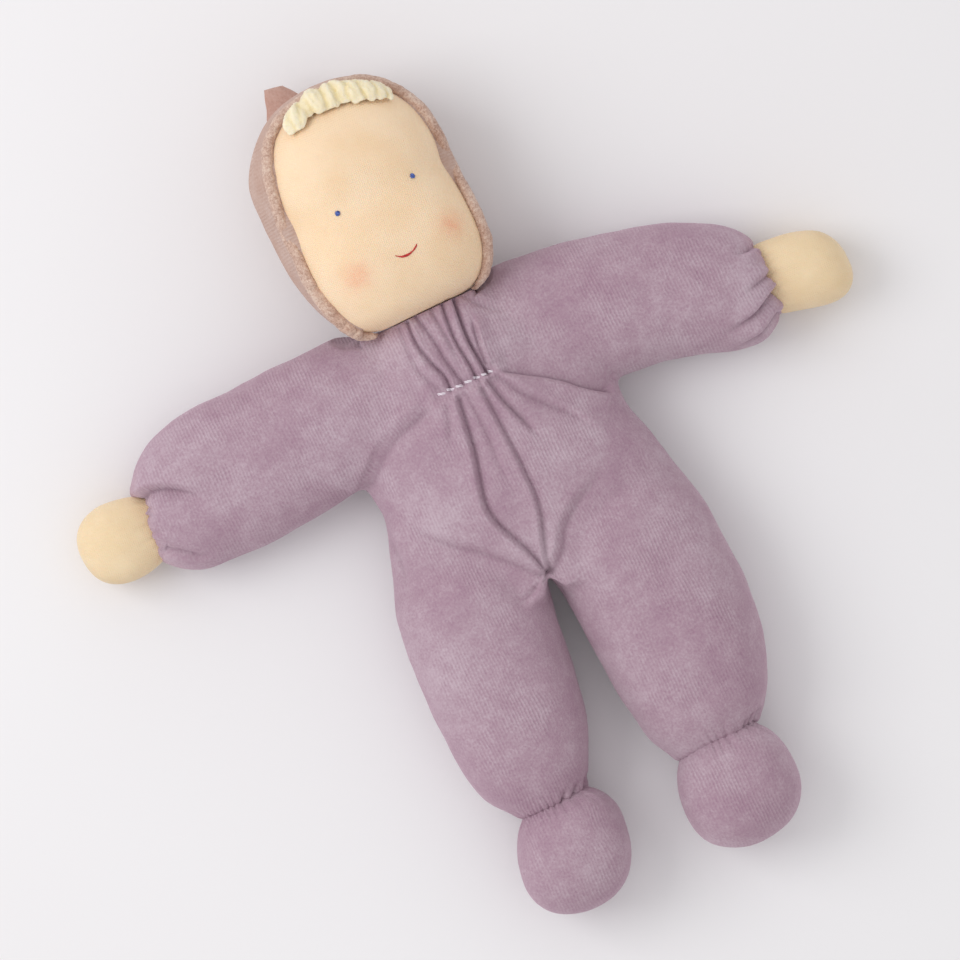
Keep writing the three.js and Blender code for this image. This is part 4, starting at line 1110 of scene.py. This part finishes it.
def tube(path, radii, sides):
    """Points and faces of a round tube along a path of points."""
    path = np.asarray(path, dtype=float)
    radii = np.broadcast_to(radii, len(path))
    angles = round_angles(sides)
    side = None
    rings = []
    for i, point in enumerate(path):
        along = path[min(i + 1, len(path) - 1)] - path[max(i - 1, 0)]
        tangent = unit(along)
        if side is None:
            side = np.array([0.0, 0.0, 1.0]) if abs(tangent[2]) < 0.7 else np.array([1.0, 0.0, 0.0])
        side = unit(side - (side @ tangent) * tangent)
        other = np.cross(tangent, side)
        rings.append(point + radii[i] * (np.cos(angles)[:, None] * side + np.sin(angles)[:, None] * other))
    return closed_rings(rings, path[0], path[-1])


HEM_WIDE = 2.4
HEM_TALL = 1.9
HEM_STEPS = 420
HEM_TAPER = 34


def hood_hem():
    """The rolled hem round the opening, wider than tall, its ends tucked in under the romper's edge."""
    path = []
    sweep = 180 + HEM_RIGHT_END + HEM_LEFT_END
    for i in range(HEM_STEPS + 1):
        x, y = opening_point(-HEM_RIGHT_END + sweep * i / HEM_STEPS)
        path.append(off_face(x, y, HEM_TALL - 0.4))
    for way, end in ((-1, 0), (1, -1)):
        last = path[end]
        run = [last + np.array([way * 1.3, 0.25, -1.3]) * step for step in (0.4, 0.8, 1.2)]
        path = run[::-1] + path if end == 0 else path + run
    path = np.array(path)
    tangents = np.gradient(path, axis=0)
    tangents /= np.linalg.norm(tangents, axis=1)[:, None]
    rings = []
    angles = round_angles(32)
    last_normal = len(path) - 4
    for i, (point, tangent) in enumerate(zip(path, tangents)):
        inner = path[min(max(i, 3), last_normal)]
        normal = face_normal(inner[0], inner[1])
        across = unit(np.cross(tangent, normal))
        normal = np.cross(across, tangent)
        from_end = min(i, len(path) - 1 - i)
        size = smoothstep(-24, HEM_TAPER, from_end)
        size *= math.sqrt(min(1.0, (from_end + 0.4) / 4))
        roll = HEM_WIDE * np.cos(angles)[:, None] * across + HEM_TALL * np.sin(angles)[:, None] * normal
        rings.append(point + size * roll)
    points, faces = closed_rings(rings, path[0], path[-1])
    thing = cloth_object("hood_hem_terry", points, faces, from_head)
    push_out(thing, 0.2 * noise_at(points, 1.5, 31) + 0.3 * noise_at(points, 5.0, 32))
    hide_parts("hood_hem")
    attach(thing, "head")
    return thing


# Rows of the hood's corner, in the doll's frame: [y at its left, x left, y at its right, x right, half depth]
CORNER_ROWS = [
    [137.0, -21.4, 139.0, -2.0, 4.2], [141.5, -20.9, 142.8, -4.0, 3.7], [145.6, -19.4, 145.8, -6.6, 2.9],
    [149.6, -17.9, 148.9, -8.9, 2.1], [152.0, -17.1, 150.9, -10.6, 1.5],
]
CORNER_Z = 17.0


def hood_corner():
    """The folded corner of the hood that stands out behind the crown."""
    rows = refined(np.array(CORNER_ROWS), 3)
    angles = round_angles(40)
    rings = []
    for number, (left_y, left_x, right_y, right_x, depth) in enumerate(rows):
        share = 0.5 + 0.5 * np.sign(np.cos(angles)) * np.abs(np.cos(angles)) ** 0.85
        fray = 0.45 * np.sin(6 * angles + 1.5) * (number / len(rows)) ** 6
        x = left_x + (right_x - left_x) * share
        y = left_y + (right_y - left_y) * share + fray
        rings.append(np.column_stack([x, y, CORNER_Z + depth * np.sin(angles)]))
    first = rings[0].mean(axis=0)
    last = rings[-1].mean(axis=0) + np.array([0, 0.35, 0])
    points, faces = closed_rings(rings, first, last)
    thing = cloth_object("hood_corner", points, faces)
    push_out(thing, 0.3 * noise_at(points, 4.0, 41))
    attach(thing, "head")
    return thing


# Puffs of the fringe, in the doll's frame: [x, y, half width, half height, how far it stands out]
FRINGE_PUFFS = [
    (-13.2, 134.3, 2.3, 3.0, 2.0), (-10.2, 135.4, 2.6, 4.1, 2.6), (-6.4, 137.1, 2.5, 3.5, 2.2),
    (-2.6, 137.4, 3.0, 4.4, 3.0), (1.9, 137.1, 2.8, 4.2, 2.5), (5.4, 137.0, 2.5, 4.4, 3.0),
    (9.4, 135.5, 3.0, 4.0, 2.3), (13.2, 134.2, 2.4, 3.9, 2.7), (16.4, 132.6, 2.4, 3.4, 2.1),
    (18.8, 131.6, 1.3, 3.6, 1.8),
]


FRINGE_STRANDS = 5
STRAND_STEPS = 15


def fringe():
    """Puffs of soft wool side by side over the top of the hem, each wound from a few fat strands."""
    random = np.random.default_rng(12)
    parts = []
    for doll_x, y, wide, tall, stand in FRINGE_PUFFS:
        x = face_x(doll_x, y)
        base = off_face(x, y, 1.4)
        normal = face_normal(x, y)
        up = np.array([0.0, 1.0, 0.0])
        up = unit(up - (up @ normal) * normal)
        side = np.cross(up, normal)
        lean = random.uniform(-0.4, 0.4)
        for strand in range(FRINGE_STRANDS):
            part = 2 * strand / (FRINGE_STRANDS - 1) - 1
            turn = random.uniform(-0.5, 0.5)
            radius = wide * random.uniform(0.4, 0.56)
            path = []
            for t in np.linspace(0, 1, STRAND_STEPS):
                bow = math.sin(math.pi * t)
                across = part * wide * (0.35 + 0.45 * bow) + lean * tall * (t - 0.5) + turn * bow
                back = max(0.0, 2 * t - 1)
                rise = 1.06 * tall * (2 * t - 1) * (1 - 0.14 * part * part) * (1 + 0.75 * back)
                out = 1.3 * stand * bow * (1 - 0.45 * part * part) + 1.5 * back - 0.018 * rise * rise * back
                path.append(base + side * across + up * rise + normal * out)
            radii = radius * (0.55 + 0.45 * np.sin(math.pi * np.linspace(0.05, 0.95, STRAND_STEPS)) ** 0.7)
            parts.append(tube(np.array(path), radii, 12))
    points, faces = joined_parts(parts)
    thing = mesh_object("hair_curls", from_head(points), faces)
    with_modifier(thing, "REMESH", mode="VOXEL", voxel_size=FRINGE_VOXEL * METRES)
    mesh = thing.data
    edges = edges_of(mesh)
    points = smoothed(points_of(mesh), edges, 7)
    set_points(mesh, points)
    normals = normals_of(mesh)
    curl = points + 1.3 * np.column_stack([noise_at(points, 3.0, seed) for seed in (54, 55, 56)])
    fibres = 0.25 * noise_at(curl * np.array([1.9, 0.5, 1.0]), 1.1, 51) + 0.12 * noise_at(curl, 0.6, 52)
    hollows = 0.5 * noise_at(points, 3.1, 53)
    set_points(mesh, points + (fibres + hollows)[:, None] * normals)
    # Painted shade for the wool: outer is 1 on the strands' crests and falls to 0 in the hollows between
    # them, where the colour is painted darker and yellower
    smooth = smoothed(points, edges, 14, back=0.0)
    hollow = ((points - smooth) * normals).sum(axis=1)
    store(mesh, "cloth", points)
    store(mesh, "outer", smoothstep(-0.6, 0.45, hollow))
    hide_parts("hair_fringe")
    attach(thing, "head")
    return thing


# Places of the face's stitches, in the doll's frame
EYES = {"right": (-11.9, 102.0), "left": (16.3, 103.0)}
MOUTH = [(-0.3, 80.8), (1.8, 79.5), (4.6, 79.5), (6.8, 80.4), (8.0, 81.4)]
EYE_TURNS = 5
EYE_STEPS = 12
EYE_HALF = 0.78
EYE_BOW = 0.42
EYE_THREAD = 0.24
MOUTH_STRANDS = 3
MOUTH_STEPS = 41


def eye(side):
    """A small knot of wound thread."""
    parts = []
    doll_x, y = EYES[side]
    x = face_x(doll_x, y)
    centre = off_face(x, y, 0.1)
    normal = face_normal(x, y)
    across = unit(np.cross(normal, [0.0, 1.0, 0.0]))
    other = np.cross(normal, across)
    for turn in range(EYE_TURNS):
        lean = math.pi * turn / EYE_TURNS
        reach = across * math.cos(lean) + other * math.sin(lean)
        path = []
        for i in range(EYE_STEPS + 1):
            t = 2 * i / EYE_STEPS - 1
            bow = EYE_BOW * math.sqrt(max(0.0, 1 - t * t))
            path.append(centre + EYE_HALF * t * reach + (bow + 0.05 * turn) * normal)
        parts.append(tube(path, EYE_THREAD, 8))
    points, faces = joined_parts(parts)
    thing = cloth_object(f"eye_knot_{side}", points, faces, from_head)
    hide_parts(f"eye_{side}")
    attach(thing, "head")
    return thing


def mouth():
    """A few strands of thread side by side along the smile."""
    strands = []
    line = curve_through(np.array(MOUTH))
    order = np.linspace(0, 1, len(line))
    for strand in range(MOUTH_STRANDS):
        path = []
        for t in np.linspace(0, 1, MOUTH_STEPS):
            doll_x = np.interp(t, order, line[:, 0])
            y = np.interp(t, order, line[:, 1]) + 0.1 * math.sin(12 * t + 2 * strand) + 0.1 * (strand - 1)
            path.append(off_face(face_x(doll_x, y), y, 0.1 + 0.06 * math.cos(16 * t + 2 * strand)))
        radius = 0.09 + 0.15 * np.sin(math.pi * np.linspace(0, 1, MOUTH_STEPS) ** 0.8) ** 0.8
        strands.append(tube(path, radius, 8))
    points, faces = joined_parts(strands)
    thing = cloth_object("mouth_thread", points, faces, from_head)
    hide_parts("mouth_stitch")
    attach(thing, "head")
    return thing


def front_of(thing):
    """A function that gives the highest point of a piece at x and y."""
    tree = BVHTree.FromObject(thing, bpy.context.evaluated_depsgraph_get())

    def at(x, y):
        start = Vector(frame_place(x, y, 120.0))
        hit, normal, _, _ = tree.ray_cast(start, Vector((0, 0, -1)))
        return to_doll([hit])[0], np.array(normal)

    return at


STITCH_STEPS = 18
STITCH_SLOPE = 0.9
STITCH_THREAD = 0.25

# Where each stitch begins and ends across the chest
STITCH_SPANS = [(-7.3, -4.4), (-3.9, -1.1), (-0.6, 2.1), (2.6, 5.4), (5.9, 8.5), (9.0, 11.0), (11.5, 13.2)]


def chest_stitches(torso):
    """Short running stitches over the gathers."""
    at = front_of(torso)
    parts = []
    for number, (left, right) in enumerate(STITCH_SPANS):
        path = []
        for i in range(STITCH_STEPS + 1):
            t = i / STITCH_STEPS
            x = left + (right - left) * t
            y = STITCH_Y + STITCH_SLOPE * (0.5 - t) + 0.2 * math.sin(2.2 * number)
            point, normal = at(x, y)
            dip = -0.7 + 1.1 * math.sin(math.pi * t) ** 0.5
            path.append(point + dip * normal)
        path = np.array(path)
        for _ in range(2):
            path[1:-1] = (path[:-2] + path[1:-1] * 2 + path[2:]) / 4
        for ply in (-1, 1):
            shift = np.array([0.0, 0.2 * ply, 0.08 * ply])
            parts.append(tube(path + shift, STITCH_THREAD, 8))
    points, faces = joined_parts(parts)
    thing = cloth_object("chest_running_stitch", points, faces)
    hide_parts("chest_stitch")
    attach(thing, "torso")
    return thing


# Neck, mostly hidden between the chin and the gathered edge

# Rows of the neck: [y, half width]
NECK_ROWS = [(55.3, 6.9), (56.6, 7.5), (58.4, 6.6), (60.5, 7.2), (64.0, 7.7), (69.0, 7.7), (73.6, 7.0)]
NECK_TIE_Y = 58.4
GATHER_TIE = (-2.3, 57.0, 28.3)


def neck():
    """The stuffed neck: a short drawn-in column of jersey, wider where it meets the chest and the head."""
    rows = [[y, HEAD_X, half, HEAD_Z - half, HEAD_Z + half] for y, half in NECK_ROWS]
    points, faces = loft(refined(np.array(rows), 3), "y", 64, 2.0, 2.0, 0.5)
    thing = cloth_object("neck_jersey", points, faces)
    push_out(thing, pucker_lift(points, (HEAD_X, HEAD_Z), "y", NECK_TIE_Y, 5.0, 18, 0.5, 3.0))
    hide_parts("neck_core")
    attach(thing, "neck")
    return thing


TURN_STEPS = 60
TURN_PITCH = 1.7


def wound_thread(name, node, body, centre, radius, turns, thickness):
    """A thread wound a few times round the neck, lying turn beside turn."""
    path = []
    x, y, z = centre
    steps = turns * TURN_STEPS
    for i in range(steps + 1):
        angle = 2 * math.pi * i / TURN_STEPS
        along = y + (i / steps - 0.5) * turns * thickness * TURN_PITCH
        path.append((x + radius * math.cos(angle), along, z + radius * math.sin(angle)))
    points, faces = tube(np.array(path), thickness, 10)
    thing = cloth_object(name, points, faces)
    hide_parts(node)
    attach(thing, body)
    return thing


# Materials

def linear(red, green, blue):
    """A colour written as it looks, from 0 to 255, as the shader wants it."""
    values = []
    for value in (red, green, blue):
        share = value / 255
        values.append(share / 12.92 if share <= 0.04045 else ((share + 0.055) / 1.055) ** 2.4)
    return (*values, 1.0)


class Nodes:
    """A material with its shader, and short names for the nodes that it is made of."""

    def __init__(self, name, sockets):
        self.material = bpy.data.materials.new(name)
        self.material.use_nodes = True
        self.tree = self.material.node_tree
        self.tree.nodes.clear()
        output = self.add("ShaderNodeOutputMaterial")
        self.shader = self.add("ShaderNodeBsdfPrincipled", sockets)
        self.link(self.shader.outputs["BSDF"], output.inputs["Surface"])

    def add(self, kind, sockets=None, **settings):
        node = self.tree.nodes.new(kind)
        for key, value in settings.items():
            setattr(node, key, value)
        for socket, value in (sockets or {}).items():
            node.inputs[socket].default_value = value
        return node

    def link(self, source, target):
        self.tree.links.new(source, target)

    def put(self, value, socket):
        """Gives a socket a number, a colour as it looks or another node's output."""
        if isinstance(value, tuple):
            socket.default_value = linear(*value)
        elif isinstance(value, (int, float)):
            socket.default_value = value
        else:
            self.link(value, socket)

    def attribute(self, name, output="Vector"):
        return self.add("ShaderNodeAttribute", attribute_name=name).outputs[output]

    def noise(self, vector, scale, detail=3.0, roughness=0.55, distortion=0.0):
        node = self.add("ShaderNodeTexNoise", {"Scale": scale, "Detail": detail, "Roughness": roughness,
                                               "Distortion": distortion})
        self.link(vector, node.inputs["Vector"])
        return node.outputs["Fac"]

    def math(self, operation, *values):
        node = self.add("ShaderNodeMath", operation=operation)
        for number, value in enumerate(values):
            self.put(value, node.inputs[number])
        return node.outputs["Value"]

    def times(self, first, second):
        return self.math("MULTIPLY", first, second)

    def plus(self, first, second):
        return self.math("ADD", first, second)

    def times_plus(self, first, second, third):
        return self.math("MULTIPLY_ADD", first, second, third)

    def ramp(self, value, stops):
        node = self.add("ShaderNodeValToRGB")
        ramp = node.color_ramp
        while len(ramp.elements) < len(stops):
            ramp.elements.new(1.0)
        for element, (place, colour) in zip(ramp.elements, stops):
            element.position = place
            element.color = linear(*colour)
        self.link(value, node.inputs["Fac"])
        return node.outputs["Color"]

    def mix(self, share, first, second):
        node = self.add("ShaderNodeMix", data_type="RGBA")
        self.link(share, node.inputs["Factor"])
        self.put(first, node.inputs[6])
        self.put(second, node.inputs[7])
        return node.outputs[2]

    def split(self, vector):
        node = self.add("ShaderNodeSeparateXYZ")
        self.link(vector, node.inputs["Vector"])
        return node.outputs["X"], node.outputs["Y"], node.outputs["Z"]

    def finish(self, colour, height=None, strength=1.0, distance=0.001):
        """Links the colour and the relief to the shader, and gives the material."""
        self.link(colour, self.shader.inputs["Base Color"])
        if height is not None:
            bump = self.add("ShaderNodeBump", {"Strength": strength, "Distance": distance})
            self.link(height, bump.inputs["Height"])
            self.link(bump.outputs["Normal"], self.shader.inputs["Normal"])
        return self.material


RIB_WIDTH = 1.15
KNIT_ROW = 0.9
KNIT_COLUMN = 0.8

# Middles of the blushed cheeks, in the doll's frame
CHEEKS = [(-14.7, 80.0), (21.2, 82.5)]
BLUSH = (238, 158, 126)


def velour(name, base, dark, light, crease_shade, rib_axis, sheen, rib_strength=1.0):
    """Short-pile knitted velour: faint ribs, brushed patches, a fine grain, and painted shade along the
    creases.
    """
    nodes = Nodes(name, {"Roughness": 0.95, "Specular IOR Level": 0.12, "Sheen Weight": sheen,
                         "Sheen Roughness": 0.45, "Sheen Tint": linear(*light)})
    cloth = nodes.attribute("cloth")
    x, y, _ = nodes.split(cloth)
    across = x if rib_axis == "y" else y
    wander = nodes.times(nodes.noise(cloth, 0.07, 2.0), 12.0)
    rib_place = nodes.plus(nodes.times(across, 2 * math.pi / RIB_WIDTH), wander)
    ribs = nodes.times_plus(nodes.math("SINE", rib_place), 0.5, 0.5)
    worn = nodes.times(nodes.math("SUBTRACT", nodes.noise(cloth, 0.06, 2.0), 0.3), 2.0)
    worn = nodes.times(worn, nodes.attribute("ribbed", "Fac"))
    patches = nodes.noise(cloth, 0.032, 2.5, 0.5)
    mottles = nodes.noise(cloth, 0.16, 3.0, 0.6)
    grain = nodes.noise(cloth, 1.15, 2.0, 0.6)
    fuzz = nodes.noise(cloth, 3.4, 2.0, 0.7)
    tone = nodes.times_plus(patches, 0.28, nodes.times_plus(mottles, 0.22, 0.07))
    for part, share in ((grain, 0.3), (fuzz, 0.08), (nodes.attribute("nap", "Fac"), 0.09)):
        tone = nodes.plus(tone, nodes.times(part, share))
    rib_tone = nodes.times(nodes.math("SUBTRACT", ribs, 0.5), worn)
    tone = nodes.times_plus(rib_tone, 0.11 * rib_strength, tone)
    colour = nodes.ramp(tone, [(0.38, dark), (0.5, base), (0.64, light)])
    # Painted shade: the colour is mixed towards a dark tone along the folds' valleys
    colour = nodes.mix(nodes.times(nodes.attribute("crease", "Fac"), 0.42), colour, crease_shade)
    height = nodes.plus(nodes.times(nodes.times(ribs, worn), 0.75 * rib_strength), nodes.times(fuzz, 0.5))
    return nodes.finish(colour, nodes.plus(height, nodes.times(grain, 1.1)), 0.6, 0.0004)


def jersey(name, base, shade, blush=False):
    """Fine knitted jersey over firm wool, with a soft blush on the cheeks."""
    nodes = Nodes(name, {"Roughness": 0.85, "Specular IOR Level": 0.2, "Sheen Weight": 0.12,
                         "Subsurface Weight": 0.08, "Subsurface Radius": (0.004, 0.002, 0.001)})
    cloth = nodes.attribute("cloth")
    x, y, _ = nodes.split(cloth)
    rows = nodes.math("SINE", nodes.times(y, 2 * math.pi / KNIT_ROW))
    columns = nodes.math("SINE", nodes.times(x, 2 * math.pi / KNIT_COLUMN))
    knit = nodes.times_plus(nodes.times(rows, columns), 0.5, 0.5)
    tone = nodes.noise(cloth, 0.07, 3.0, 0.55)
    grain = nodes.noise(cloth, 1.9, 3.0, 0.65)
    colour = nodes.ramp(nodes.times_plus(grain, 0.25, nodes.times(tone, 0.75)), [(0.35, shade), (0.62, base)])
    if blush:
        spots = 0.0
        for doll_x, cheek_y in CHEEKS:
            dx = nodes.math("SUBTRACT", x, face_x(doll_x, cheek_y))
            dy = nodes.math("SUBTRACT", y, cheek_y)
            square = nodes.plus(nodes.times(dx, dx), nodes.times(dy, dy))
            spots = nodes.plus(nodes.math("EXPONENT", nodes.times(square, -1 / 20.0)), spots)
        dabs = nodes.noise(cloth, 0.42, 3.0, 0.6)
        uneven = nodes.times(spots, nodes.times(grain, 0.7))
        uneven = nodes.times(uneven, nodes.times_plus(dabs, 1.9, 0.3))
        colour = nodes.mix(nodes.math("MINIMUM", uneven, 0.62), colour, BLUSH)
    return nodes.finish(colour, nodes.plus(nodes.times(knit, 0.7), grain), 0.6, 0.00025)


def terry(name, base, dark, light):
    """The hem's looped pile: speckled loops, with the gaps between them painted darker as shade."""
    nodes = Nodes(name, {"Roughness": 0.95, "Specular IOR Level": 0.15, "Sheen Weight": 0.25})
    cloth = nodes.attribute("cloth")
    loops = nodes.noise(cloth, 1.15, 2.0, 0.6, 0.6)
    grain = nodes.noise(cloth, 3.2, 3.0, 0.75)
    patches = nodes.noise(cloth, 0.12, 2.0)
    tone = nodes.plus(nodes.times(loops, 0.5), nodes.times(grain, 0.5))
    tone = nodes.plus(tone, nodes.times_plus(patches, 0.3, -0.15))
    # The same tone darkens the colour and lowers the relief: a speckled tone, with painted shade in the gaps
    # between the loops
    return nodes.finish(nodes.ramp(tone, [(0.36, dark), (0.5, base), (0.64, light)]), tone, 0.9, 0.0006)


def wool(name, outer, inner):
    """Soft wool fibres with painted shade: whiter on the strands' crests, darker and yellower in the hollows
    between them.
    """
    nodes = Nodes(name, {"Roughness": 0.9, "Specular IOR Level": 0.2, "Sheen Weight": 0.3,
                         "Subsurface Weight": 0.25, "Subsurface Radius": (0.003, 0.0025, 0.0015)})
    fibres = nodes.noise(nodes.attribute("cloth"), 2.4, 4.0, 0.7, 0.6)
    # Painted shade: the hollows between the strands take the darker, yellower inner colour
    tone = nodes.plus(nodes.times(nodes.attribute("outer", "Fac"), 0.55), nodes.times(fibres, 0.5))
    return nodes.finish(nodes.ramp(tone, [(0.35, inner), (0.75, outer)]), fibres, 0.6, 0.0004)


def thread(name, base, dark):
    """Twisted cotton thread."""
    nodes = Nodes(name, {"Roughness": 0.75, "Sheen Weight": 0.15})
    coordinates = nodes.add("ShaderNodeTexCoord").outputs["Object"]
    lay = nodes.add("ShaderNodeTexWave", {"Scale": 480.0, "Distortion": 1.5}, wave_type="BANDS",
                    bands_direction="DIAGONAL")
    nodes.link(coordinates, lay.inputs["Vector"])
    grain = nodes.noise(coordinates, 2500.0, 3.0)
    tone = nodes.plus(nodes.times(lay.outputs["Fac"], 0.5), nodes.times(grain, 0.5))
    return nodes.finish(nodes.ramp(tone, [(0.25, dark), (0.7, base)]), tone, 0.5, 0.0001)


def paint(thing, material):
    thing.data.materials.clear()
    thing.data.materials.append(material)


# Floor, light and camera

FLOOR_SIZE = 6.0
WORLD_COLOUR = (1.0, 0.992, 0.992, 1.0)
WORLD_STRENGTH = 0.79
WINDOW_SIZE = 0.9
WINDOW_ENERGY = 7.7
WINDOW_PLACE = (-0.85, 0.55, 1.05)


def studio():
    """A pale floor, an even world and one soft window."""
    bpy.ops.mesh.primitive_plane_add(size=FLOOR_SIZE, location=(0, 0, 0))
    floor = bpy.context.object
    floor.name = "floor"
    nodes = Nodes("floor_paper", {"Roughness": 0.9, "Specular IOR Level": 0.1})
    grain = nodes.noise(nodes.add("ShaderNodeTexCoord").outputs["Object"], 3.0, 2.0)
    colour = nodes.ramp(grain, [(0.3, (235, 233, 235)), (0.7, (238, 237, 239))])
    paint(floor, nodes.finish(colour))

    world = bpy.data.worlds.new("studio")
    world.use_nodes = True
    background = world.node_tree.nodes["Background"]
    background.inputs["Color"].default_value = WORLD_COLOUR
    background.inputs["Strength"].default_value = WORLD_STRENGTH
    bpy.context.scene.world = world

    light = bpy.data.lights.new("window", "AREA")
    light.shape = "RECTANGLE"
    light.size = WINDOW_SIZE
    light.size_y = WINDOW_SIZE
    light.energy = WINDOW_ENERGY
    window = new_object("window", light)
    place = Vector(WINDOW_PLACE)
    window.location = place
    window.rotation_euler = (-place).to_track_quat("-Z", "Y").to_euler()


IMAGE_WIDTH = 0.3283
CAMERA_HEIGHT = 3.0
CAMERA_LEVEL = 0.024
CAMERA_TURN = -25.0
CAMERA_PLACE = (-0.0057, 0.00035)


def photographer():
    data = bpy.data.cameras.new("photograph")
    data.angle = 2 * math.atan(IMAGE_WIDTH / 2 / CAMERA_HEIGHT)
    data.clip_start = 0.05
    data.clip_end = 20.0
    thing = new_object("photograph", data)
    thing.location = (*CAMERA_PLACE, CAMERA_LEVEL + CAMERA_HEIGHT)
    thing.rotation_euler = Euler((0, 0, math.radians(CAMERA_TURN)))
    bpy.context.scene.camera = thing


bpy.context.scene.view_settings.view_transform = "Standard"
photographer()
studio()

# The fourth colour of each velour is the painted shade mixed in along its creases
romper_velour = velour("romper_velour", (173, 146, 160), (160, 128, 146), (192, 172, 183),
                       (104, 78, 92), "y", 0.75)
hood_velour = velour("hood_velour", (189, 161, 149), (179, 146, 132), (202, 180, 171),
                     (140, 106, 94), "x", 0.5, 1.2)
# The hood's corner is the hood's own cloth; its darker velour colours are painted shade for the shadow it
# lies in behind the crown
corner_velour_painted_shade = velour("corner_velour_painted_shade", (188, 151, 139), (176, 134, 121), (200, 168, 157),
                       (150, 104, 92), "x", 0.4)
hem_terry = terry("hem_terry", (207, 174, 157), (172, 134, 117), (230, 208, 192))
face_jersey = jersey("face_jersey", (247, 220, 187), (242, 211, 174), True)
hand_jersey = jersey("hand_jersey", (238, 215, 179), (231, 205, 166))
curl_wool = wool("curl_wool", (247, 236, 208), (234, 212, 150))
white_thread = thread("white_thread", (238, 232, 238), (212, 198, 210))
blue_thread = thread("blue_thread", (84, 108, 182), (52, 70, 140))
red_thread = thread("red_thread", (205, 52, 50), (160, 30, 34))

romper = romper_pieces()
attach_romper(romper)
for piece in romper.values():
    paint(piece, romper_velour)
for side in ARMS:
    paint(hand(side), hand_jersey)
    paint(foot(side), romper_velour)
paint(head_skin(), face_jersey)
paint(hood_cloth(), hood_velour)
paint(hood_corner(), corner_velour_painted_shade)
paint(hood_hem(), hem_terry)
paint(fringe(), curl_wool)
for side in EYES:
    paint(eye(side), blue_thread)
paint(mouth(), red_thread)
paint(chest_stitches(romper["romper_cloth"]), white_thread)
paint(neck(), hand_jersey)
for winding in (
    ("neck_tie_winding", "neck_tie_thread", "neck", (HEAD_X, NECK_TIE_Y, HEAD_Z), 6.9, 3, 0.28),
    ("neck_gather_winding", "neck_gather_thread", "torso", GATHER_TIE, 10.2, 2, 0.3),
):
    paint(wound_thread(*winding), white_thread)
